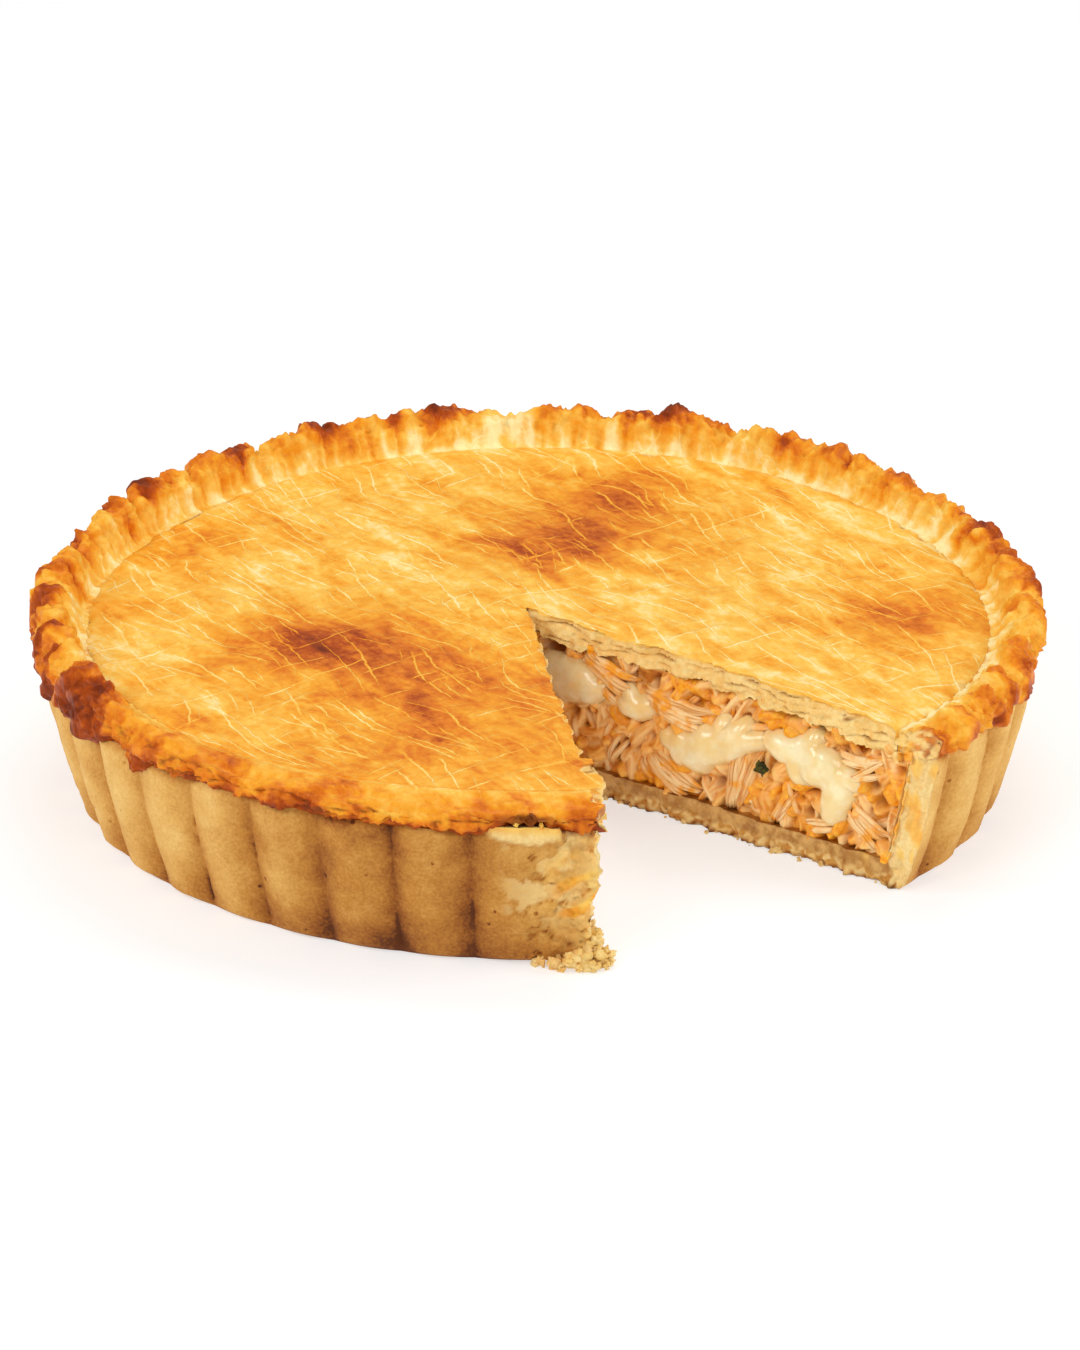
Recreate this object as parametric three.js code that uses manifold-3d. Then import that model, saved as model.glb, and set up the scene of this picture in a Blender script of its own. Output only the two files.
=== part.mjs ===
// A chicken pot pie with an eighth cut out: fluted shortcrust case, browned crimped lid,
// shredded chicken filling and melted cheese. Millimetres, +Z up, the cut opens towards -Y and +X.
import * as THREE from 'three';
import { ConvexGeometry } from 'three/addons/geometries/ConvexGeometry.js';
import { mergeVertices } from 'three/addons/utils/BufferGeometryUtils.js';
import Module from 'manifold-3d';

const wasm = await Module();
wasm.setup();
const degrees = THREE.MathUtils.degToRad;

// Driving dimensions of the case
const FOOT_RADIUS = 114.5;
const WALL_FLARE = 9.5;
const WALL_FLARE_HEIGHT = 42;
const WALL_FLARE_POWER = 1.6;
const WALL_TOP = 37;
const WALL_THICKNESS = 8;
const BASE_THICKNESS = 6.5;
const FLUTE_COUNT = 40;
const FLUTE_DEPTH = 3;
const FLUTE_PHASE = degrees(-97.7);
const FLUTE_ROUNDNESS = 0.8;
const TORN_ANGLE = degrees(5);
const TORN_FADE_ANGLE = degrees(16);
const FOOT_ROUND = 1.5;
const SHOULDER_ROUND = 1.5;
const INNER_FILLET = 3;
const BASE_CRUMB_HEIGHT = 2.8;
const LUMP_SHAPE = { along: 1.5, up: 0.85, reach: 0.3 };
const CASE_SIDES = 160;

// Driving dimensions of the lid
const RIM_RADIUS = 125;
const SEAM_RADIUS = 112;
const LID_CENTRE_HEIGHT = 44.5;
const SEAM_HEIGHT = 42;
const SEAM_SIDE_DROP = 1.5;
const LID_THICKNESS = 6.3;
const CREST_HEIGHT = 46.8;
const CREST_BACK_RISE = 2.6;
const CREST_INSET = 5.5;
const CREST_DIP = 1.2;
const SEAM_GROOVE = 0.8;
const RIM_UNDERCUT = 3.5;
const SWELL_HEIGHT = 0.5;
const SWELL_WAVES = 0.057;
const KNOB_COUNT = 64;
const KNOB_REACH = 2.4;
const KNOB_RISE = 3.2;
const KNOB_SPREAD = 0.62;
const KNOB_JITTER = 0.28;
const KNOB_SIZES = [0.45, 1.15];
const FLAT_LIP_MIDDLE = degrees(-112);
const FLAT_LIP_HALF = degrees(24);
const FLAT_LIP_FADE = degrees(44);
const FLAT_LIP_CRIMP = 0.25;
const FLAT_LIP_DROP = 1.4;
const LID_SIDES = 168;

// Driving dimensions of the cut
const CUT_APEX = new THREE.Vector2(-3, 0);
const LEFT_CUT = degrees(-82.3);
const RIGHT_CUT = degrees(-38.3);
const CUT_REACH = 180;
const CUT_STEPS = 40;
const CUT_TOP = 60;
const LID_LAYERS = [
  { low: 30, high: 37.6, setback: 0.5, ragged: 0.45, seed: 31 },
  { low: 37.6, high: 39.4, setback: -0.4, ragged: 0.45, seed: 32 },
  { low: 39.4, high: 41.2, setback: 0.6, ragged: 0.45, seed: 33 },
  { low: 41.2, high: CUT_TOP, setback: -0.1, ragged: 0.45, seed: 34 },
];

// Driving dimensions of the filling
const GAP = 0.3;
const LID_GAP = 0.5;
const CORE_RECESS = 3;
const CORE_SIDES = 56;
const STRIP_WIDTH = 3.4;
const STRIP_DEPTH = 5.5;
const STRIP_PARTS = 3;
const STRIP_SINK = 2.2;
const STRIP_TAPER = 0.55;
const STRIP_THINNING = 0.3;
const STRAND_PITCH = 0.85;
const LOOSE_PITCH = { along: 10, up: 6.5 };
const LOOSE_RANGE = { along: [10, 101], up: [12, 32] };
const HERB = { radius: 2, distance: 73, height: 20.6 };
const CHEESE_FLATNESS = 0.62;
const CHEESE_LEAST_DEPTH = 0.8;

// Seeded random numbers, alike on every run
function randomDraws(seed) {
  let state = seed >>> 0;
  return (low, high) => {
    state = (Math.imul(state, 1664525) + 1013904223) >>> 0;
    return low + (high - low) * (state / 4294967296);
  };
}

function smoothstep(low, high, value) {
  return THREE.MathUtils.smoothstep(value, low, high);
}

function angleBetween(a, b) {
  return Math.abs(Math.atan2(Math.sin(a - b), Math.cos(a - b)));
}

// Outer radius of the wall on a flute's ridge
function ridgeRadius(z) {
  const rise = THREE.MathUtils.clamp(z / WALL_FLARE_HEIGHT, 0, 1);
  return FOOT_RADIUS + WALL_FLARE * (1 - (1 - rise) ** WALL_FLARE_POWER);
}

function innerRadius(z) {
  return ridgeRadius(z) - WALL_THICKNESS;
}

// How far the flutes are pressed in: they fade into torn pastry next to the left cut
function fluteDepth(angle) {
  const fromValley = (angle - FLUTE_PHASE) * FLUTE_COUNT / 2;
  const awayFromTear = smoothstep(TORN_ANGLE, TORN_FADE_ANGLE, angleBetween(angle, LEFT_CUT));
  return FLUTE_DEPTH * (1 - Math.abs(Math.sin(fromValley)) ** FLUTE_ROUNDNESS) * awayFromTear;
}

// Height of the lid's top: domed in the middle, lower at the two sides than front and back
function lidTop(radius, angle) {
  const share = Math.min(radius / SEAM_RADIUS, 1);
  const seam = SEAM_HEIGHT - SEAM_SIDE_DROP * Math.cos(2 * angle);
  const sideways = Math.sin(SWELL_WAVES * radius * Math.cos(angle) + 1);
  const swell = SWELL_HEIGHT * sideways * Math.sin(SWELL_WAVES * radius * Math.sin(angle));
  return LID_CENTRE_HEIGHT + (seam - LID_CENTRE_HEIGHT) * share ** 2 + swell * (1 - share);
}

// Crimped knobs round the rim, each with its own place and size
const drawKnob = randomDraws(7);
const knobPitch = 2 * Math.PI / KNOB_COUNT;
const knobs = Array.from({ length: KNOB_COUNT }, (_, index) => ({
  angle: (index + drawKnob(-KNOB_JITTER, KNOB_JITTER)) * knobPitch,
  size: drawKnob(...KNOB_SIZES),
}));

function crimp(angle) {
  let lift = 0;
  for (const knob of knobs) {
    const away = angleBetween(angle, knob.angle) / (KNOB_SPREAD * knobPitch);
    if (away < 1) {
      lift = Math.max(lift, knob.size * Math.cos(away * Math.PI / 2));
    }
  }
  return lift;
}

// The front of the rim, left of the cut, is pressed to a flat lip
function crimpStrength(angle) {
  const crimped = smoothstep(FLAT_LIP_HALF, FLAT_LIP_FADE, angleBetween(angle, FLAT_LIP_MIDDLE));
  return FLAT_LIP_CRIMP + (1 - FLAT_LIP_CRIMP) * crimped;
}

function crestHeight(angle) {
  const level = CREST_HEIGHT + CREST_BACK_RISE * Math.sin(angle);
  return level - FLAT_LIP_DROP * (1 - crimpStrength(angle));
}

// Moves each vertex of a geometry through a function of its position
function displace(geometry, move) {
  const places = geometry.attributes.position;
  const point = new THREE.Vector3();
  for (let index = 0; index < places.count; index += 1) {
    point.fromBufferAttribute(places, index);
    move(point);
    places.setXYZ(index, point.x, point.y, point.z);
  }
  return geometry;
}

// Turns a profile of [radius, height] pairs round the vertical axis
function turned(profile, sides) {
  const points = profile.map(([radius, height]) => new THREE.Vector2(radius, height));
  return new THREE.LatheGeometry(points, sides).rotateX(Math.PI / 2);
}

// Closed solid of a geometry, with its seams joined and its flat triangles left out
function solid(geometry) {
  const bare = geometry.clone();
  bare.deleteAttribute('normal');
  bare.deleteAttribute('uv');
  const joined = mergeVertices(bare, 1e-4);
  const index = joined.index.array;
  const kept = [];
  for (let corner = 0; corner < index.length; corner += 3) {
    const [a, b, c] = index.slice(corner, corner + 3);
    if (a !== b && b !== c && c !== a) {
      kept.push(a, b, c);
    }
  }
  const vertProperties = new Float32Array(joined.attributes.position.array);
  const shape = new wasm.Manifold(new wasm.Mesh({ numProp: 3, vertProperties, triVerts: new Uint32Array(kept) }));
  if (shape.volume() > 0) {
    return shape;
  }
  for (let corner = 0; corner < kept.length; corner += 3) {
    [kept[corner + 1], kept[corner + 2]] = [kept[corner + 2], kept[corner + 1]];
  }
  return new wasm.Manifold(new wasm.Mesh({ numProp: 3, vertProperties, triVerts: new Uint32Array(kept) }));
}

function largestPiece(shape) {
  const pieces = shape.decompose();
  return pieces.reduce((best, piece) => (piece.volume() > best.volume() ? piece : best));
}

function meshOf(name, shape, material) {
  const { vertProperties, triVerts } = shape.getMesh();
  const geometry = new THREE.BufferGeometry();
  geometry.setAttribute('position', new THREE.BufferAttribute(new Float32Array(vertProperties), 3));
  geometry.setIndex(new THREE.BufferAttribute(new Uint32Array(triVerts), 1));
  geometry.computeVertexNormals();
  const mesh = new THREE.Mesh(geometry, new THREE.MeshStandardMaterial(material));
  mesh.name = name;
  return mesh;
}

// A slab of the eighth that is cut out, between two heights, with ragged sides set back by a distance
function wedgeSlab({ low, high, setback, ragged, seed }) {
  const draw = randomDraws(seed);
  const side = (direction, turn) => {
    const along = new THREE.Vector2(Math.cos(direction), Math.sin(direction));
    const outward = new THREE.Vector2(-along.y, along.x).multiplyScalar(turn);
    return Array.from({ length: CUT_STEPS + 1 }, (_, step) => CUT_APEX.clone()
      .addScaledVector(along, CUT_REACH * step / CUT_STEPS)
      .addScaledVector(outward, setback + draw(-ragged, ragged)));
  };
  const right = side(RIGHT_CUT, 1);
  const left = side(LEFT_CUT, -1);
  const outline = new THREE.Shape([...left, ...right.slice(1).reverse()]);
  const slab = new THREE.ExtrudeGeometry(outline, { depth: high - low, bevelEnabled: false });
  return solid(slab.translate(0, 0, low));
}

// The two cut faces: a point is given by its distance from the middle, height and reach into the gap
function cutFace(direction, turn) {
  const along = new THREE.Vector3(Math.cos(direction), Math.sin(direction), 0);
  const up = new THREE.Vector3(0, 0, 1);
  const out = new THREE.Vector3(along.y, -along.x, 0).multiplyScalar(turn);
  const place = (distance, height, reach) => new THREE.Vector3(CUT_APEX.x, CUT_APEX.y, height)
    .addScaledVector(along, distance).addScaledVector(out, reach);
  const stand = (geometry, distance, height, reach) => {
    const across = along.clone().multiplyScalar(turn);
    const frame = new THREE.Matrix4().makeBasis(across, up, out);
    return geometry.applyMatrix4(frame.setPosition(place(distance, height, reach)));
  };
  return { place, stand };
}

const rightFace = cutFace(RIGHT_CUT, 1);
const leftFace = cutFace(LEFT_CUT, -1);

// Fluted case: flat base and tapered wall in one piece
function caseProfile() {
  const outerHeights = [FOOT_ROUND, 12, 25, WALL_TOP - SHOULDER_ROUND];
  const innerHeights = [WALL_TOP, 22, BASE_THICKNESS + INNER_FILLET];
  return [
    [0, 0],
    [FOOT_RADIUS - FOOT_ROUND, 0],
    ...outerHeights.map((z) => [ridgeRadius(z), z]),
    [ridgeRadius(WALL_TOP) - SHOULDER_ROUND, WALL_TOP],
    ...innerHeights.map((z) => [innerRadius(z), z]),
    [innerRadius(BASE_THICKNESS) - INNER_FILLET, BASE_THICKNESS],
    [0, BASE_THICKNESS],
  ];
}

function pastryCase() {
  const shell = displace(turned(caseProfile(), CASE_SIDES), (point) => {
    const radius = Math.hypot(point.x, point.y);
    const outside = radius > ridgeRadius(point.z) - WALL_THICKNESS / 2;
    if (outside) {
      const scale = 1 - fluteDepth(Math.atan2(point.y, point.x)) / radius;
      point.x *= scale;
      point.y *= scale;
    }
  });
  const crumbly = { low: -1, high: BASE_CRUMB_HEIGHT, setback: 0, ragged: 0.7, seed: 21 };
  const clean = { low: BASE_CRUMB_HEIGHT, high: CUT_TOP, setback: 0, ragged: 0.25, seed: 22 };
  const cut = wedgeSlab(crumbly).add(wedgeSlab(clean));
  return largestPiece(solid(shell).subtract(cut).add(tornFeet()));
}

// Lumps of torn pastry at the foot of the two cut faces
function tornFeet() {
  const lumps = [
    { face: leftFace, distance: 108, size: 3.4 },
    { face: leftFace, distance: 113, size: 2.6 },
    { face: leftFace, distance: 100, size: 2.2 },
    { face: rightFace, distance: 112, size: 2.4 },
    { face: rightFace, distance: 84, size: 1.8 },
    { face: rightFace, distance: 47, size: 1.6 },
  ];
  const parts = lumps.map(({ face, distance, size }) => {
    const lump = new THREE.IcosahedronGeometry(size, 1).scale(LUMP_SHAPE.along, LUMP_SHAPE.up, 1);
    return solid(face.stand(lump, distance, LUMP_SHAPE.up * size, LUMP_SHAPE.reach * size));
  });
  return parts.reduce((all, part) => all.add(part));
}

// Lid with its crimped rim: the rim stands on the wall, the middle hangs down inside it
function lidProfile() {
  const plug = innerRadius(WALL_TOP) - GAP;
  const under = WALL_TOP + GAP;
  return [
    [0, 'under'], [90, 'under'], [plug - 1.5, 'under'],
    [plug - GAP, under], [RIM_RADIUS - RIM_UNDERCUT, under],
    [RIM_RADIUS, 'lip'], [RIM_RADIUS - 1.2, 'shoulder'],
    [RIM_RADIUS - CREST_INSET, 'crest'], [SEAM_RADIUS + 3, 'slope'], [SEAM_RADIUS, 'seam'],
    [SEAM_RADIUS - 5, 'top'], [84, 'top'], [45, 'top'], [0, 'top'],
  ];
}

// Height of a named line of the lid's profile at one angle
function lidHeight(line, radius, angle) {
  const knob = crimp(angle) * crimpStrength(angle) * KNOB_RISE;
  const crest = crestHeight(angle);
  const heights = {
    under: () => lidTop(radius, angle) - LID_THICKNESS,
    lip: () => WALL_TOP + 0.36 * (crest - WALL_TOP),
    shoulder: () => WALL_TOP + 0.72 * (crest - WALL_TOP) + 0.4 * knob,
    crest: () => crest - CREST_DIP + knob,
    slope: () => lidTop(SEAM_RADIUS, angle) + 0.55 * (crest - lidTop(SEAM_RADIUS, angle)),
    seam: () => lidTop(SEAM_RADIUS, angle) - SEAM_GROOVE,
    top: () => lidTop(radius, angle),
  };
  return typeof line === 'number' ? line : heights[line]();
}

function pastryLid() {
  const profile = lidProfile();
  const knobbed = { lip: 1, shoulder: 0.8, crest: 0.5 };
  const shell = turned(profile.map(([radius]) => [radius, 0]), LID_SIDES);
  const places = shell.attributes.position;
  for (let index = 0; index < places.count; index += 1) {
    const [radius, line] = profile[index % profile.length];
    const angle = Math.atan2(places.getY(index), places.getX(index));
    const bulge = (knobbed[line] ?? 0) * KNOB_REACH * (crimp(angle) - 1) * crimpStrength(angle);
    const reach = radius === 0 ? 0 : (radius + bulge) / radius;
    places.setX(index, places.getX(index) * reach);
    places.setY(index, places.getY(index) * reach);
    places.setZ(index, lidHeight(line, radius, angle));
  }
  const flakyCut = LID_LAYERS.map(wedgeSlab).reduce((all, slab) => all.add(slab));
  return largestPiece(solid(shell).subtract(flakyCut));
}

// Melted cheese: a chain of beads on a cut face, joined pair by pair
function cheese({ face, beads }, grown) {
  const ball = ({ distance, height, size, reach }) => {
    const bead = new THREE.SphereGeometry(1, 10, 7);
    bead.scale(size + grown, size + grown, CHEESE_FLATNESS * size + CHEESE_LEAST_DEPTH + grown);
    return face.stand(bead, distance, height, reach);
  };
  const corners = (geometry) => {
    const places = geometry.attributes.position;
    return Array.from({ length: places.count }, (_, index) => new THREE.Vector3().fromBufferAttribute(places, index));
  };
  const links = beads.slice(1).map((bead, index) => {
    const points = [...corners(ball(beads[index])), ...corners(ball(bead))];
    return solid(new ConvexGeometry(points));
  });
  return links.reduce((all, link) => all.add(link));
}

const cheeses = {
  cheese_top: {
    face: rightFace,
    beads: [
      { distance: 10, height: 28.5, size: 4.2, reach: -1.2 },
      { distance: 20, height: 28.5, size: 4, reach: -1.2 },
    ],
  },
  cheese_dab: {
    face: rightFace,
    beads: [
      { distance: 31.5, height: 26.2, size: 2.6, reach: -0.6 },
      { distance: 36.5, height: 26.8, size: 2.4, reach: -0.6 },
    ],
  },
  cheese_strand: {
    face: rightFace,
    beads: [
      { distance: 46.5, height: 19.5, size: 3.8, reach: -1 },
      { distance: 56, height: 22, size: 3.4, reach: -1 },
      { distance: 66, height: 24.8, size: 2.2, reach: -1 },
    ],
  },
  cheese_drip: {
    face: rightFace,
    beads: [
      { distance: 79, height: 28, size: 3, reach: -1 },
      { distance: 89, height: 25.5, size: 4.4, reach: -0.6 },
      { distance: 95.5, height: 20, size: 4.6, reach: -0.4 },
      { distance: 95, height: 15.2, size: 2.8, reach: -0.4 },
    ],
  },
  cheese_left_pool: {
    face: leftFace,
    beads: [
      { distance: 30, height: 24, size: 4.4, reach: -1 },
      { distance: 41, height: 27, size: 3, reach: -1 },
    ],
  },
  cheese_left_drip: {
    face: leftFace,
    beads: [
      { distance: 70, height: 26, size: 3.6, reach: -0.8 },
      { distance: 77, height: 20, size: 4, reach: -0.6 },
      { distance: 78, height: 15, size: 2.6, reach: -0.6 },
    ],
  },
};

// One shred of chicken: a bent strip, thinner at its ends
function strip(length, width, bend) {
  const geometry = new THREE.BoxGeometry(length, width, STRIP_DEPTH, STRIP_PARTS, 1, 1);
  return displace(geometry, (point) => {
    const end = 2 * point.x / length;
    point.y = point.y * (1 - STRIP_TAPER * end ** 2) + bend * end ** 2;
    point.z *= 1 - STRIP_THINNING * end ** 2;
  });
}

// Bundles of shreds that show on the right face: place, height, length, slope and number of strands
const bundles = [
  { distance: 24, height: 27.5, length: 22, slope: -48, strands: 4 },
  { distance: 42, height: 27, length: 18, slope: -12, strands: 3 },
  { distance: 40, height: 13, length: 20, slope: -50, strands: 3 },
  { distance: 70, height: 19, length: 22, slope: 62, strands: 3 },
  { distance: 101, height: 13, length: 17, slope: -42, strands: 4 },
  { distance: 101, height: 25, length: 12, slope: 22, strands: 2 },
];

function bundleStrips() {
  const draw = randomDraws(51);
  return bundles.flatMap(({ distance, height, length, slope, strands }) => {
    const tilt = degrees(slope);
    return Array.from({ length: strands }, (_, strand) => {
      const sideways = (strand - (strands - 1) / 2) * STRIP_WIDTH * STRAND_PITCH;
      const shred = strip(length * draw(0.85, 1.05), STRIP_WIDTH, draw(-1, 1));
      shred.rotateZ(tilt + degrees(draw(-7, 7)));
      return rightFace.stand(shred, distance - Math.sin(tilt) * sideways,
        height + Math.cos(tilt) * sideways, -STRIP_SINK + draw(0, 0.8));
    });
  });
}

// Loose shreds over the rest of a face, on a jittered grid
function looseStrips(face, seed) {
  const draw = randomDraws(seed);
  const strips = [];
  const [nearest, farthest] = LOOSE_RANGE.along;
  const [lowest, highest] = LOOSE_RANGE.up;
  for (let distance = nearest; distance <= farthest; distance += LOOSE_PITCH.along) {
    for (let height = lowest; height <= highest; height += LOOSE_PITCH.up) {
      const shred = strip(draw(7, 13), draw(2.4, 3.6), draw(-1.4, 1.4));
      shred.rotateZ(draw(0, Math.PI));
      strips.push(face.stand(shred, distance + draw(-3, 3), height + draw(-1.5, 1.5), -STRIP_SINK - draw(0, 0.9)));
    }
  }
  return strips;
}

function herbFlake() {
  const flake = new THREE.CylinderGeometry(HERB.radius, HERB.radius, STRIP_DEPTH, 6);
  return rightFace.stand(flake.rotateX(Math.PI / 2), HERB.distance, HERB.height, GAP - STRIP_SINK);
}

// Space inside the pastry that the filling may take, without the cut
function fillingRoom() {
  const heights = [BASE_THICKNESS + INNER_FILLET, 22];
  const profile = [
    [0, BASE_THICKNESS + GAP], [innerRadius(BASE_THICKNESS) - INNER_FILLET - GAP, BASE_THICKNESS + GAP],
    ...heights.map((z) => [innerRadius(z) - GAP, z]),
    [innerRadius(WALL_TOP) - INNER_FILLET, 'top'], [90, 'top'], [0, 'top'],
  ];
  const room = turned(profile.map(([radius, z]) => [radius, typeof z === 'number' ? z : WALL_TOP]), CORE_SIDES);
  return solid(displace(room, (point) => {
    if (point.z > WALL_TOP - 1) {
      const under = lidTop(Math.hypot(point.x, point.y), Math.atan2(point.y, point.x)) - LID_THICKNESS;
      point.z = under - LID_GAP;
    }
  }));
}

function chickenFilling() {
  const room = fillingRoom();
  const core = room.subtract(wedgeSlab({ low: -1, high: CUT_TOP, setback: CORE_RECESS, ragged: 0.4, seed: 41 }));
  const pockets = Object.values(cheeses).map((piece) => cheese(piece, GAP)).reduce((all, part) => all.add(part));
  const pieces = [...bundleStrips(), ...looseStrips(rightFace, 52), ...looseStrips(leftFace, 53), herbFlake()];
  let filling = core.subtract(pockets);
  for (const piece of pieces) {
    const shred = solid(piece).intersect(room);
    const clear = shred.intersect(pockets).volume() === 0;
    if (clear) {
      filling = filling.add(shred);
    }
  }
  return largestPiece(filling);
}

// Assembly
const pie = new THREE.Group();
pie.name = 'chicken_pot_pie';
pie.add(meshOf('pastry_case', pastryCase(), { color: 0xd3ac6c, roughness: 0.85, metalness: 0 }));
pie.add(meshOf('pastry_lid', pastryLid(), { color: 0xe9b45c, roughness: 0.5, metalness: 0 }));
pie.add(meshOf('chicken_filling', chickenFilling(), { color: 0xdba061, roughness: 0.5, metalness: 0 }));
for (const [name, piece] of Object.entries(cheeses)) {
  pie.add(meshOf(name, cheese(piece, 0), { color: 0xf0e0b4, roughness: 0.25, metalness: 0 }));
}

export default pie;
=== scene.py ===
# %% [markdown]
# # A chicken pot pie with a slice out
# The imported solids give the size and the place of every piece. This lesson dresses them: pastry with
# flutes, crimps and flaky cut edges, a web of sauced chicken shreds, melted cheese, a herb flake and crumbs.
# We work in millimetres, because pastry is measured that way, and turn to metres when a mesh is made.

# %% Load the frame
import itertools
import math

import bpy
import numpy as np
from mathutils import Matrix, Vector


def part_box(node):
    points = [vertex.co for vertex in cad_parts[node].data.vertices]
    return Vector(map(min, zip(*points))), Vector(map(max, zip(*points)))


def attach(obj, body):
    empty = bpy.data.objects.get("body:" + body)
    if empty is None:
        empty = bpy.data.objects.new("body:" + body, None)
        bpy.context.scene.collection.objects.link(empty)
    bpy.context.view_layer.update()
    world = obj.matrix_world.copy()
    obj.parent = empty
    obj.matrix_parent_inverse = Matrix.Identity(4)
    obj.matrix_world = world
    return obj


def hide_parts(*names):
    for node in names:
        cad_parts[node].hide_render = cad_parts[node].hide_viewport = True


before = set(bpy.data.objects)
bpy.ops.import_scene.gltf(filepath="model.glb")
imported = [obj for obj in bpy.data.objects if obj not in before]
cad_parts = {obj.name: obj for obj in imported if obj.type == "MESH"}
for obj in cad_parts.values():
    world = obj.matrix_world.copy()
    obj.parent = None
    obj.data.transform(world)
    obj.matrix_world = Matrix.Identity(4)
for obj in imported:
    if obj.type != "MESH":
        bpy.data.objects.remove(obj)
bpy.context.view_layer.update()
MM = 0.001
print("solids:", sorted(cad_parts))

# %% [markdown]
# ## Measures of the pie
# The pie was baked in a 25 cm fluted tin. The wall leans out from the foot to the rim, and the lid is domed.
# These are the few sizes that everything else is worked out from, the same as the solids have.

# %% Sizes in millimetres
FOOT_RADIUS = 114.5
WALL_FLARE = 9.5
WALL_FLARE_HEIGHT = 42
WALL_FLARE_POWER = 1.6
WALL_TOP = 37
WALL_THICKNESS = 8
BASE_THICKNESS = 6.5
FLUTE_COUNT = 40
FLUTE_DEPTH = 3
FLUTE_PHASE = math.radians(-97.7)
RIM_RADIUS = (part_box("pastry_lid")[1][0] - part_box("pastry_lid")[0][0]) / 2 / MM
SEAM_RADIUS = 112
LID_CENTRE = 44.5
SEAM_HEIGHT = 42
LID_THICKNESS = 6.3
LID_WAVE = 0.057
CREST_HEIGHT = 46.8
CREST_PEAK = math.radians(130)
LIP_MIDDLE = math.radians(-112)
APEX = np.array([-3.0, 0.0])
RIGHT_CUT = math.radians(-38.3)
LEFT_CUT = math.radians(-82.3)
SWEEP = (RIGHT_CUT, LEFT_CUT + 2 * math.pi)
print("rim radius in mm:", round(RIM_RADIUS, 1))

# %% [markdown]
# ## Random bumps
# Baked things are uneven at every scale. A gradient noise gives smooth random bumps of a chosen size;
# adding it at halved sizes gives crags. Written with arrays, it moves a hundred thousand points in a moment.

# %% Noise helpers
NOISE_START = 91.7
NOISE_SLICE = 0.37
NOISE_GAIN = 1.6


def smooth(low, high, value):
    share = np.clip((value - low) / (high - low), 0, 1)
    return share * share * (3 - 2 * share)


def noise(points, size, seed):
    """Smooth bumps of one size, at points in an array of any shape whose last axis is x, y and z."""
    draw = np.random.default_rng(seed)
    shuffle = draw.permutation(256)
    slopes = draw.normal(size=(256, 3))
    slopes /= np.linalg.norm(slopes, axis=1, keepdims=True)
    spot = np.asarray(points, float) / size + NOISE_START
    cell = np.floor(spot).astype(int)
    part = spot - cell
    fade = part ** 3 * (part * (part * 6 - 15) + 10)
    total = np.zeros(spot.shape[:-1])
    for corner in itertools.product((0, 1), repeat=3):
        key = 0
        for axis, step in enumerate(corner):
            key = shuffle[(key + cell[..., axis] + step) & 255]
        weight = np.where(corner, fade, 1 - fade).prod(axis=-1)
        total += weight * ((part - corner) * slopes[key]).sum(axis=-1)
    return NOISE_GAIN * total


def crags(points, size, octaves, seed):
    layers = [0.5 ** step * noise(points, size * 0.5 ** step, seed + step) for step in range(octaves)]
    return np.sum(layers, axis=0)


def flat_noise(first, second, size, seed):
    return noise(np.stack(np.broadcast_arrays(first, second, NOISE_SLICE), axis=-1), size, seed)


print("noise sample:", noise(np.array([[1.0, 2.0, 3.0]]), 5, 1).round(3))

# %% [markdown]
# ## Surfaces of the real pie
# The wall, the lid and the rim are turned shapes, so each has a simple formula in radius and angle. The
# slice was cut from a point a little off the middle, so rays from that point run along both cut faces.

# %% Pastry formulas
def ridge_radius(z):
    rise = np.clip(z / WALL_FLARE_HEIGHT, 0, 1)
    return FOOT_RADIUS + WALL_FLARE * (1 - (1 - rise) ** WALL_FLARE_POWER)


def inner_radius(z):
    return ridge_radius(z) - WALL_THICKNESS


def angle_between(a, b):
    return np.abs(np.arctan2(np.sin(a - b), np.cos(a - b)))


def near(angle, middle, full, none):
    """1 up to full degrees from an angle, fading to 0 at none degrees from it."""
    return 1 - smooth(math.radians(full), math.radians(none), angle_between(angle, middle))


def valley(angle):
    """1 in the bottom of a flute, 0 on a ridge, fading out in the torn pastry next to the left cut."""
    wave = np.abs(np.sin((angle - FLUTE_PHASE) * FLUTE_COUNT / 2))
    return (1 - wave ** 0.8) * (1 - near(angle, LEFT_CUT, 5, 16))


def lid_top(radius, angle):
    share = np.minimum(radius / SEAM_RADIUS, 1)
    seam = SEAM_HEIGHT - 1.5 * np.cos(2 * angle) + 0.9 * smooth(-0.2, 0.8, np.sin(angle))
    sideways = np.sin(LID_WAVE * radius * np.cos(angle) + 1)
    swell = 0.5 * sideways * np.sin(LID_WAVE * radius * np.sin(angle))
    return LID_CENTRE + (seam - LID_CENTRE) * share ** 2 + swell * (1 - share)


def flat_lip(angle):
    """1 where the front of the rim is pressed to a flat lip, 0 where it is crimped."""
    return near(angle, LIP_MIDDLE, 24, 44)


def crest_height(angle):
    by_cut = near(angle, RIGHT_CUT, 3, 18)
    risen = smooth(-0.2, 0.6, np.cos(angle - CREST_PEAK))
    return CREST_HEIGHT + 2.6 * np.sin(angle) + 2.4 * risen - 1.05 * flat_lip(angle) - 1.5 * by_cut


def reach_to(phi, radius):
    """Distance along a ray from the cut's point to a circle round the pie's middle."""
    along = APEX[0] * np.cos(phi) + APEX[1] * np.sin(phi)
    return -along + np.sqrt(along ** 2 - APEX @ APEX + radius ** 2)


def on_rays(phi, radius, z):
    """Points on rays from the cut's point, at a radius round the pie's middle."""
    reach = reach_to(phi, radius)
    x = APEX[0] + reach * np.cos(phi)
    y = APEX[1] + reach * np.sin(phi)
    return np.stack(np.broadcast_arrays(x, y, z), axis=-1)


print("wall radius at foot and top:", ridge_radius(np.array([0, WALL_TOP])).round(1))

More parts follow.
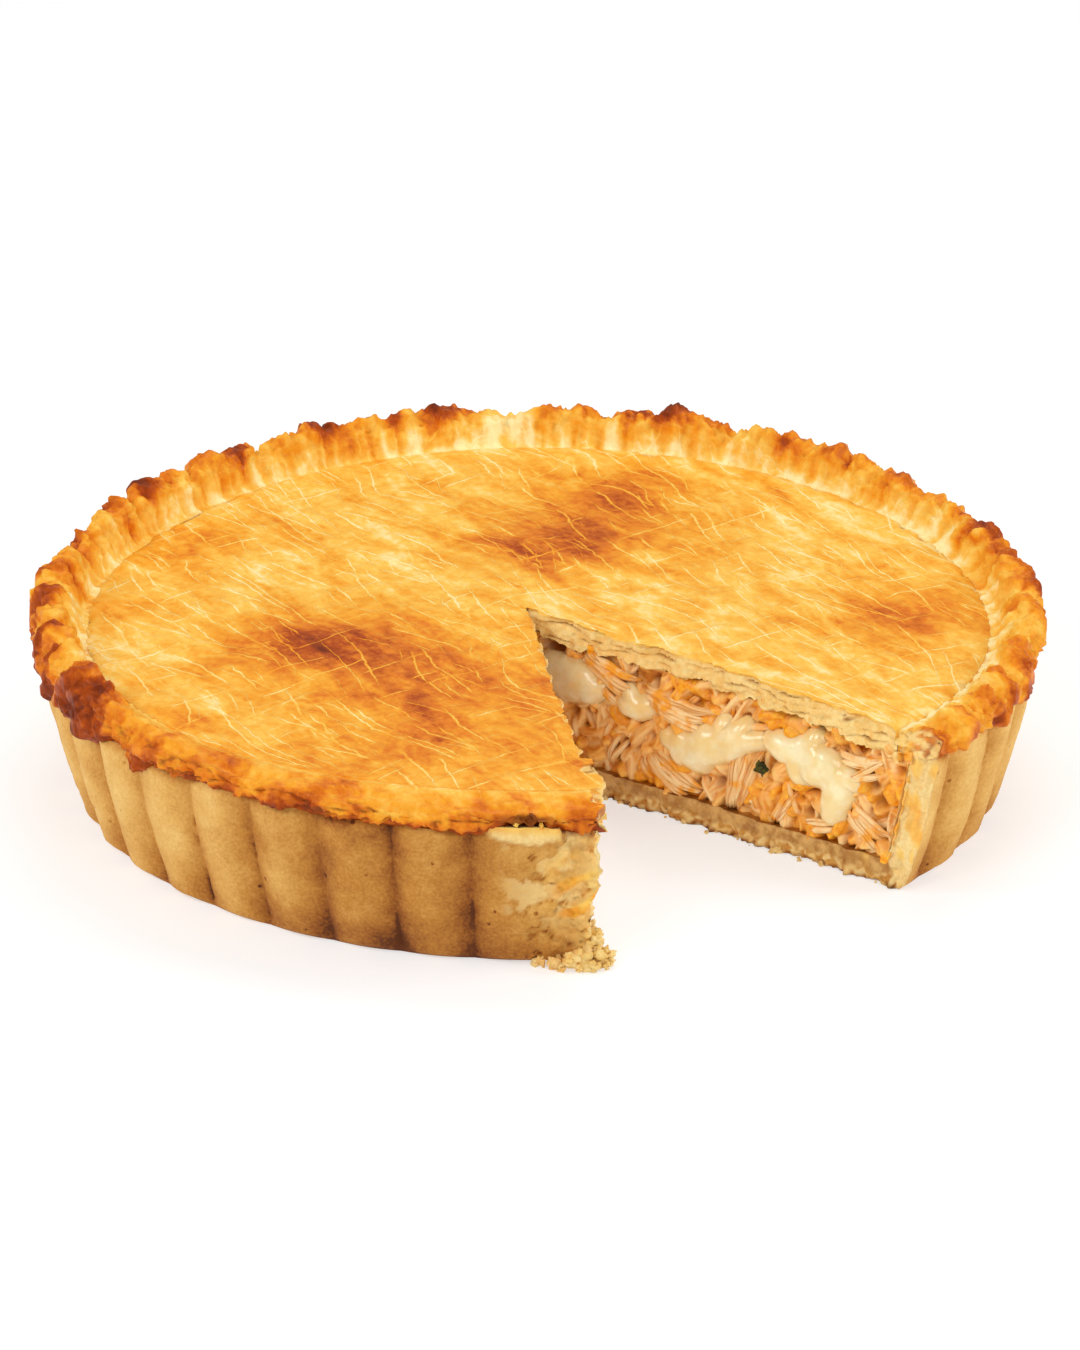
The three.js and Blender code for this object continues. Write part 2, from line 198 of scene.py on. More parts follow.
# %% [markdown]
# ## From grids to meshes
# Nearly every piece here is a grid of points, bent and pushed about by the formulas. These helpers turn
# grids into faces, join several grids into one piece and hand masks over to the material as attributes.

# %% Mesh helpers
def quads(rows, columns, start=0, flip=False):
    first = start + (np.arange(rows - 1)[:, None] * columns + np.arange(columns - 1)).ravel()
    ring = np.stack([first, first + 1, first + columns + 1, first + columns], axis=1)
    return ring[:, ::-1] if flip else ring


class Piece:
    """Collects grids of points with their masks, then makes one object that rides on the pie."""

    def __init__(self, name):
        self.name = name
        self.points = []
        self.faces = []
        self.masks = {}
        self.count = 0

    def grid(self, points, flip=False, **masks):
        rows, columns = points.shape[:2]
        start = self.count
        self.faces.extend(quads(rows, columns, start, flip).tolist())
        self.add(points.reshape(-1, 3), **{key: np.broadcast_to(value, (rows, columns)).ravel()
                                           for key, value in masks.items()})
        return start + np.arange(rows * columns).reshape(rows, columns)

    def add(self, points, **masks):
        for key in set(masks) | set(self.masks):
            held = self.masks.setdefault(key, [np.zeros(self.count)])
            held.append(np.broadcast_to(masks.get(key, 0.0), len(points)))
        self.points.append(points)
        self.count += len(points)

    def cap(self, loops, flip=False):
        """One face through a chain of corners, given as a list of runs of point numbers."""
        ring = [int(number) for loop in loops for number in loop]
        self.faces.append(ring[::-1] if flip else ring)

    def finish(self, node, material):
        mesh = bpy.data.meshes.new(self.name)
        mesh.from_pydata((np.concatenate(self.points) * MM).tolist(), [], self.faces)
        mesh.update()
        mesh.polygons.foreach_set("use_smooth", np.ones(len(mesh.polygons), bool))
        for key, parts in self.masks.items():
            layer = mesh.attributes.new(key, "FLOAT", "POINT")
            layer.data.foreach_set("value", np.concatenate(parts).astype(np.float32))
        mesh.materials.append(material)
        piece = bpy.data.objects.new(self.name, mesh)
        bpy.context.scene.collection.objects.link(piece)
        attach(piece, "root")
        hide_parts(node)
        triangles = sum(len(face) - 2 for face in self.faces)
        print(f"{self.name}: {self.count} points, {triangles} triangles")
        return piece


# %% [markdown]
# ## Shader building blocks
# A material is a small graph of nodes. These helpers put in a node, set its sockets and link them, so the
# recipes below stay short enough to read.

# %% Shader helpers
def srgb(red, green, blue):
    levels = np.array([red, green, blue]) / 255
    linear = np.where(levels <= 0.04045, levels / 12.92, ((levels + 0.055) / 1.055) ** 2.4)
    return (*linear.tolist(), 1.0)


def put(tree, kind, sockets=None, **settings):
    node = tree.nodes.new(kind)
    for key, value in settings.items():
        setattr(node, key, value)
    for key, value in (sockets or {}).items():
        if isinstance(value, bpy.types.NodeSocket):
            tree.links.new(value, node.inputs[key])
        else:
            node.inputs[key].default_value = value
    return node


def work(tree, operation, first, second=0.0, third=0.0, clamp=False):
    sockets = {0: first, 1: second, 2: third}
    return put(tree, "ShaderNodeMath", sockets, operation=operation, use_clamp=clamp).outputs[0]


def vary(tree, value, pattern, amount, clamp=False):
    """A value moved up and down by a pattern that swings about a half."""
    return work(tree, "MULTIPLY_ADD", work(tree, "SUBTRACT", pattern, 0.5), amount, value, clamp)


def between(tree, value, low, high, start=0.0, end=1.0):
    sockets = {0: value, 1: low, 2: high, 3: start, 4: end}
    return put(tree, "ShaderNodeMapRange", sockets, interpolation_type="SMOOTHSTEP").outputs[0]


def blend(tree, share, first, second, how="MIX"):
    sockets = {0: share, 6: first, 7: second}
    return put(tree, "ShaderNodeMix", sockets, data_type="RGBA", blend_type=how).outputs[2]


def mask(tree, name):
    return put(tree, "ShaderNodeAttribute", attribute_name=name).outputs["Fac"]


def ramp(tree, share, stops):
    node = put(tree, "ShaderNodeValToRGB", {0: share})
    bar = node.color_ramp
    while len(bar.elements) < len(stops):
        bar.elements.new(0.5)
    for element, (place, colour) in zip(bar.elements, stops):
        element.position = place
        element.color = colour
    return node.outputs[0]


def place_mm(tree, stretch=(1, 1, 1), turn=0.0):
    """Position on the pie in millimetres. Marks grow longer by stretch, along axes turned by turn."""
    spot = put(tree, "ShaderNodeTexCoord").outputs["Object"]
    sockets = {0: spot, 2: (0, 0, turn), 3: [MM * share for share in stretch]}
    return put(tree, "ShaderNodeMapping", sockets, vector_type="TEXTURE").outputs[0]


def grain(tree, spot, size, detail=3.0, rough=0.55, twist=0.0):
    sockets = {"Vector": spot, "Scale": 1 / size, "Detail": detail, "Roughness": rough, "Distortion": twist}
    return put(tree, "ShaderNodeTexNoise", sockets).outputs[0]


def bump(tree, height, strength, depth_mm, normal=None):
    sockets = {"Strength": strength, "Distance": depth_mm * MM, "Height": height}
    if normal is not None:
        sockets["Normal"] = normal
    return put(tree, "ShaderNodeBump", sockets).outputs[0]


def new_material(name, **settings):
    material = bpy.data.materials.new(name)
    material.use_nodes = True
    tree = material.node_tree
    shader = tree.nodes["Principled BSDF"]
    for key, value in settings.items():
        shader.inputs[key.replace("_", " ")].default_value = value
    return material, tree, shader


def wire(tree, shader, **values):
    """Links values to sockets of the shader, named with an underscore for each blank."""
    for key, value in values.items():
        tree.links.new(value, shader.inputs[key.replace("_", " ")])


# %% [markdown]
# ## Effects that several pastries share
# Short pastry has a fine sandy grain: tiny pits and flecks of browned flour. A baked crust also browns in
# steps from cream to dark toffee. Both effects are node groups, so lid, case and crumbs can use them alike.

# %% Pastry grain and browning groups
def new_group(name, inputs, outputs):
    group = bpy.data.node_groups.new(name, "ShaderNodeTree")
    for title, value in inputs.items():
        socket = group.interface.new_socket(name=title, in_out="INPUT", socket_type="NodeSocketFloat")
        socket.default_value = value
    for title, kind in outputs.items():
        group.interface.new_socket(name=title, in_out="OUTPUT", socket_type=kind)
    return group, put(group, "NodeGroupInput"), put(group, "NodeGroupOutput")


grain_group, grain_in, grain_out = new_group(
    "pastry_grain", {"Size": 1.0}, {"Flecks": "NodeSocketFloat", "Height": "NodeSocketFloat"})
spot = place_mm(grain_group)
scale = work(grain_group, "DIVIDE", 1.0, grain_in.outputs["Size"])
noise_sockets = {"Vector": spot, "Scale": scale, "Detail": 5.0, "Roughness": 0.65}
fine = put(grain_group, "ShaderNodeTexNoise", noise_sockets).outputs[0]
noise_sockets = {"Vector": spot, "Scale": 0.14, "Detail": 4.0, "Roughness": 0.6}
wide = put(grain_group, "ShaderNodeTexNoise", noise_sockets).outputs[0]
pits = put(grain_group, "ShaderNodeTexVoronoi", {"Vector": spot, "Scale": 0.55, "Randomness": 1.0})
pit = between(grain_group, pits.outputs[0], 0.05, 0.3)
flecks = work(grain_group, "ADD", work(grain_group, "MULTIPLY", fine, 0.6),
              work(grain_group, "MULTIPLY", wide, 0.4))
height = work(grain_group, "MULTIPLY_ADD", pit, 0.35, fine)
grain_group.links.new(flecks, grain_out.inputs["Flecks"])
grain_group.links.new(height, grain_out.inputs["Height"])

CRUST_STOPS = [
    (0.00, srgb(255, 234, 168)), (0.22, srgb(249, 196, 82)), (0.42, srgb(242, 162, 40)),
    (0.60, srgb(224, 122, 24)), (0.78, srgb(176, 74, 12)), (1.00, srgb(112, 40, 8)),
]
brown_group, brown_in, brown_out = new_group("oven_browning", {"Bake": 0.3}, {"Colour": "NodeSocketColor"})
brown_group.links.new(ramp(brown_group, brown_in.outputs["Bake"], CRUST_STOPS), brown_out.inputs["Colour"])
print("groups:", [group.name for group in bpy.data.node_groups])


def pastry_grain(tree, size):
    return put(tree, "ShaderNodeGroup", {"Size": size}, node_tree=grain_group).outputs


def oven_browning(tree, bake):
    return put(tree, "ShaderNodeGroup", {"Bake": bake}, node_tree=brown_group).outputs["Colour"]


# %% [markdown]
# ## Egg-washed crust
# Egg wash browns unevenly: pale where the pastry stretched, orange in streaks, toffee brown in patches.
# As the lid swells, the glaze cracks into long pale lines that run side by side in families. A family is a
# set of lanes with one broken line in each; four turns make four families, and gates give each its ground.

# %% Lid and rim material
CRUMB_LIGHT = srgb(255, 230, 160)
CRUMB_DARK = srgb(240, 190, 102)
# Painted shade for the slits between the flaky layers of cut faces.
SLIT_SHADE = srgb(158, 98, 42)
# Painted shade for the seam's groove and holes, the lip's cracks, the void under the lip and the rim's
# underside.
CREASE_SHADE = srgb(136, 70, 22)
CRACK_FAMILIES = [
    {"turn": -58, "spacing": 3.6, "length": 30, "width": 0.12, "shift": 0.0},
    {"turn": -71, "spacing": 4.4, "length": 36, "width": 0.10, "shift": 40.3},
    {"turn": -40, "spacing": 6.0, "length": 22, "width": 0.07, "shift": 80.7},
    {"turn": 38, "spacing": 8.0, "length": 14, "width": 0.05, "shift": 120.1},
]


def crack_family(tree, sway, turn, spacing, length, width, shift):
    """Thin lines side by side, one to a lane, each at its own place there and open only in stretches."""
    spot = place_mm(tree, turn=math.radians(turn))
    bent = put(tree, "ShaderNodeVectorMath", {0: sway, 1: (6, 16, 0), 2: spot}, operation="MULTIPLY_ADD")
    run = put(tree, "ShaderNodeSeparateXYZ", {0: bent.outputs[0]}).outputs
    level = work(tree, "MULTIPLY_ADD", run["Y"], 1 / spacing, shift)
    lane = work(tree, "FLOOR", level)
    stray = put(tree, "ShaderNodeTexWhiteNoise", {"W": lane}, noise_dimensions="1D").outputs["Value"]
    middle = work(tree, "MULTIPLY_ADD", stray, 0.6, 0.2)
    away = work(tree, "ABSOLUTE", work(tree, "SUBTRACT", work(tree, "FRACT", level), middle))
    own = {0: work(tree, "MULTIPLY", run["X"], 1 / length), 1: work(tree, "MULTIPLY", lane, 3.7)}
    stretch = grain(tree, put(tree, "ShaderNodeCombineXYZ", own).outputs[0], 1.0, 1)
    open_width = between(tree, stretch, 0.45, 0.60, 0.001, width)
    return work(tree, "SUBTRACT", 1.0, work(tree, "DIVIDE", away, open_width), clamp=True)


def crackle(tree):
    spot = place_mm(tree)
    sway = put(tree, "ShaderNodeTexNoise", {"Vector": spot, "Scale": 0.025, "Detail": 1.0}).outputs["Color"]
    crinkle = put(tree, "ShaderNodeTexNoise", {"Vector": spot, "Scale": 0.3, "Detail": 2.0}).outputs["Color"]
    sockets = {0: crinkle, 1: (0.09, 0.09, 0), 2: sway}
    sway = put(tree, "ShaderNodeVectorMath", sockets, operation="MULTIPLY_ADD").outputs[0]
    patches = grain(tree, spot, 18, 3)
    gates = [between(tree, patches, 0.40, 0.56), between(tree, patches, 0.58, 0.42)]
    lines = 0.0
    for number, family in enumerate(CRACK_FAMILIES):
        gate = gates[number % 2]
        lines = work(tree, "MAXIMUM", lines, work(tree, "MULTIPLY", crack_family(tree, sway, **family), gate))
    return lines


def crust_material():
    material, tree, shader = new_material("egg_washed_crust", Coat_Roughness=0.3, Specular_IOR_Level=0.08)
    streaks = grain(tree, place_mm(tree, (2.2, 1, 1), -1.0), 9, 5, 0.62, 0.5)
    mottle = grain(tree, place_mm(tree), 3.0, 4, 0.62)
    grains = pastry_grain(tree, 1.6)
    lines = work(tree, "MULTIPLY", crackle(tree), mask(tree, "crackle"))
    bake = vary(tree, mask(tree, "bake"), streaks, 1.0)
    bake = vary(tree, bake, mottle, 0.36, clamp=True)
    bake = vary(tree, bake, grains["Flecks"], 0.4)
    paling = work(tree, "MULTIPLY_ADD", bake, -0.40, -0.18)
    baked = oven_browning(tree, work(tree, "MULTIPLY_ADD", lines, paling, bake, clamp=True))
    # Painted shade darkens the seam, the lip's cracks, the void and the rim's underside.
    crease_shaded = blend(tree, mask(tree, "crease"), baked, CREASE_SHADE)
    crumb = blend(tree, between(tree, grains["Flecks"], 0.3, 0.7), CRUMB_DARK, CRUMB_LIGHT)
    # Painted shade darkens the slits between the cut layers.
    crumb = blend(tree, mask(tree, "slit"), crumb, SLIT_SHADE)
    cut = mask(tree, "crumb")
    glossy = work(tree, "MULTIPLY_ADD", lines, 0.2, between(tree, mottle, 0.3, 0.7, 0.34, 0.52))
    skin = bump(tree, work(tree, "MULTIPLY_ADD", lines, 0.6, mottle), 0.6, 0.4)
    wire(tree, shader, Base_Color=blend(tree, cut, crease_shaded, crumb),
         Roughness=work(tree, "MULTIPLY_ADD", cut, 0.35, glossy),
         Coat_Weight=between(tree, cut, 0.0, 0.5, 0.05, 0.0),
         Normal=bump(tree, work(tree, "MULTIPLY", grains["Height"], cut), 0.6, 0.5, skin))
    return material


crust = crust_material()
print("material:", crust.name)

# %% [markdown]
# ## Crimped knobs
# The rim was pinched shut by hand, so every knob differs in place and size. The same seeded draws as in the
# solids give the same knobs. A knob is a rounded hump; where two meet, the larger wins and leaves a groove.

# %% Knob draws
KNOB_COUNT = 64
KNOB_PITCH = 2 * math.pi / KNOB_COUNT
KNOB_WIDTH = 0.62 * KNOB_PITCH
DROOPS = [math.radians(angle) for angle in (-165.6, -151.6, -141.6, -25.5, -18.5)]
DROOP_WIDTH = math.radians(2.6)
LOW_END = math.radians(-22)


def knob_draws(seed):
    """Even draws between 0 and 1, by the rule that the solids use."""
    state = seed
    while True:
        state = (state * 1664525 + 1013904223) % 2 ** 32
        yield state / 2 ** 32


draws = knob_draws(7)
KNOBS = []
for index in range(KNOB_COUNT):
    jitter = -0.28 + 0.56 * next(draws)
    size = 0.45 + 0.70 * next(draws)
    KNOBS.append(((index + jitter) * KNOB_PITCH, size))
knob_random = np.random.default_rng(9)
KNOB_BAKE = knob_random.uniform(0.45, 1.0, KNOB_COUNT)
KNOB_SAG = knob_random.uniform(0.0, 1.0, KNOB_COUNT) ** 2


def knob_field(angle):
    """How far the knobs lift the rim, and the number of the knob that stands highest at each angle."""
    lift = np.zeros_like(angle)
    owner = np.zeros(angle.shape, int)
    for number, (middle, size) in enumerate(KNOBS):
        away = angle_between(angle, middle) / KNOB_WIDTH
        hump = size * np.cos(np.minimum(away, 1) * math.pi / 2) ** 0.65
        owner = np.where(hump > lift, number, owner)
        lift = np.maximum(lift, hump)
    return lift, owner


def droop(angle):
    """1 where a lump of the rim hangs over the wall."""
    humps = [np.exp(-(angle_between(angle, middle) / DROOP_WIDTH) ** 2) for middle in DROOPS]
    return np.max(humps, axis=0)


def low_end(angle):
    """1 at the right end of the rim, which is low, flaky and paler, 0 elsewhere."""
    return near(angle, LOW_END, 18, 45)


print("largest knob:", round(max(size for _, size in KNOBS), 2))

# %% [markdown]
# ## Cut edges
# A knife drags pastry along, so a cut edge isn't a plane: flakes stand out in layers, with slits between
# them, and the line of the edge wanders. A cut face is a grid in the cut's plane, pushed in and out. The
# left cut was torn more than the right one, so it juts out further.

# %% Cut face helpers
CUTS = {
    "right": {"angle": RIGHT_CUT, "out": np.array([math.sin(RIGHT_CUT), -math.cos(RIGHT_CUT), 0]),
              "row": 0, "seed": 300, "juts": 0.6, "ragged": 0.8},
    "left": {"angle": LEFT_CUT, "out": np.array([-math.sin(LEFT_CUT), math.cos(LEFT_CUT), 0]),
             "row": -1, "seed": 500, "juts": 3.2, "ragged": 1.4},
}
LAYER_PITCH = 1.9


def cut_noise(cut, number, along, height, size):
    """Noise on a cut face; each number is a pattern of its own."""
    return flat_noise(along, height, size, cut["seed"] + number)


def on_cut(cut, along, height, reach):
    """Points of a cut face, from distance along it, height and reach into the gap."""
    along, height, reach = np.broadcast_arrays(along, height, reach)
    run = np.array([math.cos(cut["angle"]), math.sin(cut["angle"]), 0])
    spots = np.array([*APEX, 0]) + along[..., None] * run + reach[..., None] * cut["out"]
    spots[..., 2] = height
    return spots


def edge_wander(cut, along, amount):
    wander = 0.7 * cut_noise(cut, 0, along, 0, 9) + 0.6 * cut_noise(cut, 1, along, 0, 3.1)
    jagged = 0.6 * cut_noise(cut, 3, along, 0, 1.2)
    chips = smooth(0.25, 0.6, cut_noise(cut, 2, along, 0, 4.5))
    juts = cut["juts"] * smooth(0.05, 0.3, cut_noise(cut, 4, along, 0, 5.2)) * smooth(72, 96, along)
    return amount * (wander + jagged - chips + juts)


def flakes(cut, along, depth, pitch):
    """Layers of a cut pastry face: how far each stands out, and a mask of the slits between them."""
    level = depth / pitch + 0.8 * cut_noise(cut, 10, along, 0, 14)
    layer = np.floor(level)
    stand = 2.1 * cut_noise(cut, 11, along, layer * 17.3, 6)
    slit = smooth(0.32, 0.0, level - layer)
    slit = slit * smooth(-0.05, 0.4, cut_noise(cut, 12, along, layer * 11.9, 6))
    crumbly = 0.35 * cut_noise(cut, 13, along, depth, 2.6) + 0.2 * cut_noise(cut, 14, along, depth, 1.0)
    return stand - 1.3 * slit + crumbly, slit


print("cuts:", list(CUTS))

# %% [markdown]
# ## The lid
# The lid is one rolled sheet, domed by steam. We sample it along rays from the cut's point, so the first and
# the last ray are the cut edges, then let it swell, wrinkle and dip into the seam. Baking colour is a mask:
# a few patches, as the oven left them, which the material breaks up into streaks.
# a few hand-placed patches, as the oven left them, which the material breaks up into streaks.

# %% Lid browning
LID_BAKE = 0.26
# x, y, half width, half depth and added browning
BAKED_PATCHES = [
    (-58, -19, 21, 20, 0.32), (-36, -28, 30, 24, 0.32), (-17, -52, 28, 17, 0.22), (16, 62, 32, 30, 0.32),
    (1, 38, 18, 16, 0.34), (28, 84, 16, 12, 0.20), (92, 6, 18, 28, 0.34), (-95, 30, 16, 34, 0.12),
    (-70, 52, 22, 12, 0.16), (-30, -96, 46, 18, 0.10), (-20, -78, 75, 30, 0.17),
]


def lid_bake(x, y):
    bake = np.full(x.shape, LID_BAKE)
    for patch_x, patch_y, wide, deep, added in BAKED_PATCHES:
        bake += added * np.exp(-(((x - patch_x) / wide) ** 2 + ((y - patch_y) / deep) ** 2))
    return bake


print("baked patches:", len(BAKED_PATCHES))

# %% Lid mesh
LID_RAYS = 470
LID_RINGS = 170
LID_LAYERS = 22
LID_SEAM_DEPTH = LID_THICKNESS + 1.5
EDGE_WANDER = 0.9
EDGE_FADE = 1.6
WRINKLE_AXES = np.array([[0.8, -0.6, 0], [0.6, 0.8, 0], [0, 0, 1]])
WRINKLE_STRETCH = np.array([0.3, 1, 1])


def seam_dashes(angle):
    """1 at the small holes along the seam, 0 where the pastry is closed."""
    run = angle * SEAM_RADIUS
    return smooth(0.0, 0.35, flat_noise(run, 0, 4.2, 53)) * smooth(-0.3, 0.2, flat_noise(run, 0, 26, 54))


def lid_surface(phi, reach):
    x = APEX[0] + reach * np.cos(phi)
    y = APEX[1] + reach * np.sin(phi)
    radius = np.hypot(x, y)
    angle = np.arctan2(y, x)
    spots = np.stack([x, y, np.zeros_like(x)], axis=-1)
    swell = 0.7 * noise(spots, 42, 11) + 0.30 * noise(spots, 15, 12)
    wrinkles = 0.22 * crags(spots @ WRINKLE_AXES * WRINKLE_STRETCH, 5, 3, 13) + 0.08 * noise(spots, 1.8, 16)
    groove = (0.2 + 0.9 * seam_dashes(angle)) * smooth(SEAM_RADIUS - 2.5, SEAM_RADIUS, radius)
    groove = groove * (1 - 0.85 * flat_lip(angle))
    spots[..., 2] = lid_top(radius, angle) - groove + (swell + wrinkles) * smooth(113, 104, radius)
    return spots


def pull_to_cuts(points, phi, reach):
    """Moves points near the two cut edges so that the edge line wanders."""
    for cut in CUTS.values():
        gap = angle_between(phi, cut["angle"])
        away = np.where(gap < math.pi / 2, reach * np.sin(np.minimum(gap, math.pi / 2)), reach)
        pull = edge_wander(cut, reach, EDGE_WANDER) * np.exp(-away / EDGE_FADE)
        points += pull[..., None] * cut["out"]
    return points


def lid_cut(lid, cut, run, edge):
    """The flaky face below one cut edge of the lid."""
    ragged = 1.3 * cut_noise(cut, 30, run, 0, 4.2) + 0.8 * cut_noise(cut, 31, run, 0, 1.4)
    thick = (LID_THICKNESS + 1.5 * smooth(85, 110, run) + ragged)[:, None]
    depth = np.linspace(0, 1, LID_LAYERS)[None, :] ** 0.9 * thick
    push, slit = flakes(cut, run[:, None], depth, LAYER_PITCH)
    face = edge[:, None, :] + (push * smooth(0.0, 0.7, depth))[..., None] * cut["out"]
    face[..., 2] -= depth
    toasted = lid_bake(edge[:, 0], edge[:, 1])[:, None]
    return lid.grid(face, flip=cut["row"] == 0, crumb=smooth(0.15, 0.9, depth), slit=slit, bake=toasted)


def lid_piece():
    lid = Piece("domed_lid")
    phi = np.linspace(*SWEEP, LID_RAYS)[:, None]
    share = np.linspace(0.008, 1, LID_RINGS)[None, :]
    phi, reach = np.broadcast_arrays(phi, share * reach_to(phi, SEAM_RADIUS))
    top = pull_to_cuts(lid_surface(phi, reach), phi, reach)
    x, y, _ = np.moveaxis(top, -1, 0)
    angle = np.arctan2(y, x)
    # Painted shade along the seam's groove, darker at its small holes and faint at the flat lip.
    crease = smooth(SEAM_RADIUS - 1.1, SEAM_RADIUS, np.hypot(x, y)) * (0.1 + 0.5 * seam_dashes(angle))
    crease = crease * (1 - 0.8 * flat_lip(angle))
    top_ids = lid.grid(top, bake=lid_bake(x, y), crackle=1.0, crease=crease)
    tip_id = lid.count
    lid.add(np.array([[*APEX, top[:, 0, 2].mean()]]), bake=0.2)
    for pair in zip(top_ids[:-1, 0], top_ids[1:, 0]):
        lid.cap([[tip_id], pair])
    right, left = (lid_cut(lid, cut, reach[cut["row"]], top[cut["row"]]) for cut in CUTS.values())
    lid.cap([[tip_id, left[0, 0], right[0, 0]]])
    for strip in zip(right[0, :-1], left[0, :-1], left[0, 1:], right[0, 1:]):
        lid.cap([strip])
    seam = top[:, -1]
    wall = lid.grid(np.stack([seam, seam - [0, 0, LID_SEAM_DEPTH]], axis=1), flip=True, bake=0.3)
    lid.cap([right[:, -1], wall[1:-1, 1], left[::-1, -1]], flip=True)
    return lid.finish("pastry_lid", crust)


lid_piece()

# %% [markdown]
# ## The crimped rim
# Lid and case are pinched together in a thick rope of pastry. Its section is a smooth curve through a few
# points: up from the seam, over the crest, down the outside and under. Swept round the pie, it is pushed out
# by the knobs, which lean as fingers leave them, and roughened by crags. At the front it is pressed to a flat
# lip, lifted off the wall over one small void, and its right end is low. Knob tops catch the heat and brown,
# in clusters with golden stretches between them.

# %% Rim mesh
RIM_STATIONS = 1050
RIM_STEPS = 58
RIM_CAP_STEPS = 14
RIM_LAYER_PITCH = 1.6
RIM_SWELL = 1
PLEAT_RADIUS = 118
VOID = {"angle": math.radians(-91), "half": math.radians(3.0), "mouth": math.radians(3.6), "lift": 2.6,
        "low": 38.6, "high": 42.0, "soft": 0.8, "depth": 0.9}


def smooth_curve(corners, steps):
    """Catmull-Rom curve through corners, an array of stations x corners x 2."""
    first = 2 * corners[:, :1] - corners[:, 1:2]
    last = 2 * corners[:, -1:] - corners[:, -2:-1]
    padded = np.concatenate([first, corners, last], axis=1)
    place = np.linspace(0, corners.shape[1] - 1 - 1e-6, steps)
    span = place.astype(int)
    t = (place - span)[None, :, None]
    a, b, c, d = (padded[:, span + shift] for shift in range(4))
    square = 2 * a - 5 * b + 4 * c - d
    cube = 3 * b - a - 3 * c + d
    return 0.5 * (2 * b + (c - a) * t + square * t ** 2 + cube * t ** 3)


def rim_section(angle):
    crest = crest_height(angle)
    seam = lid_top(np.full_like(angle, SEAM_RADIUS), angle)
    lift, owner = knob_field(angle)
    flat = flat_lip(angle)
    drop = 3.6 * droop(angle) + 2.4 * KNOB_SAG[owner] * lift * (1 - flat)
    drop = drop * (1 - 0.65 * low_end(angle))
    drop = drop - VOID["lift"] * np.exp(-((angle - VOID["angle"]) / VOID["mouth"]) ** 2)
    corners = [
        (SEAM_RADIUS - 0.8, seam - 2.2), (SEAM_RADIUS - 0.2, seam - 0.5), (SEAM_RADIUS + 2.0, seam + 0.3),
        (SEAM_RADIUS + 4.6, seam + 0.55 * (crest - seam)), (RIM_RADIUS - 5.3, crest - 0.6),
        (RIM_RADIUS - 2.2, crest - 2.0),
        (RIM_RADIUS - 0.9, WALL_TOP + 0.45 * (crest - WALL_TOP) - 0.4 * drop),
        (RIM_RADIUS - 1.4 - 0.6 * flat, WALL_TOP + 1.2 - drop), (RIM_RADIUS - 4.2, WALL_TOP - 0.9 - drop),
    ]
    return np.stack([np.stack(np.broadcast_arrays(*corner), axis=-1) for corner in corners], axis=1)


def rim_relief(section, spots, angle, share):
    """How far crimps, crags and flaky layers push the rim out, and masks of what they make."""
    flat = flat_lip(angle)[:, None]
    right = low_end(angle)[:, None]
    run = angle[:, None] * PLEAT_RADIUS
    knob, owner = knob_field(angle[:, None] + 0.085 * (share - 0.6))
    lumps = crags(spots, 6, 2, 41)
    pitted = np.abs(crags(spots, 4.2, 2, 44))
    crinkled = np.abs(crags(spots, 2.6, 2, 45))
    layered = flat_noise(section[..., 1] * 2.6, angle[:, None] * 20, 3.0, 47)
    pleats = flat_noise(run, section[..., 0] * 0.2, 3.6, 48)
    pleats = pleats + 0.45 * flat_noise(run, section[..., 0] * 0.3, 1.5, 46)
    pleats = pleats * smooth(0.62, 0.3, share) * smooth(0.06, 0.2, share) * (1 - 0.85 * flat)
    flaky = np.sum([smooth(-0.05, 0.05, noise(spots, size, 80 + size)) for size in (4, 7)], axis=0) - 1
    push = 3.9 * (knob - 0.66) * (1 - 0.72 * flat) * (1 - 0.35 * right)
    push = push + 1.2 * lumps * (1 - 0.6 * flat) + (0.35 + 0.9 * flat) * layered
    rough = 1.4 * pitted + 1.3 * crinkled + 0.7 * flaky
    push = push + rough * (1 - 0.6 * flat * smooth(0.7, 0.6, share))
    cracked = smooth(0.10, 0.0, np.abs(layered)) * smooth(0.55, 0.7, share) * smooth(0.98, 0.9, share)
    outside = smooth(0.22, 0.5, share) * smooth(1.0, 0.82, share)
    push = outside * (push - 0.9 * cracked * flat) + 0.2 * lumps + 1.1 * pleats
    tops = smooth(0.2, 0.75, knob - 0.4 * pitted - 0.5 * crinkled) * smooth(0.34, 0.5, share)
    return push, {"tops": tops * (1 - 0.4 * right), "pleats": pleats, "knob_bake": KNOB_BAKE[owner],
                  "cracked": cracked * (0.25 + 0.75 * flat)}


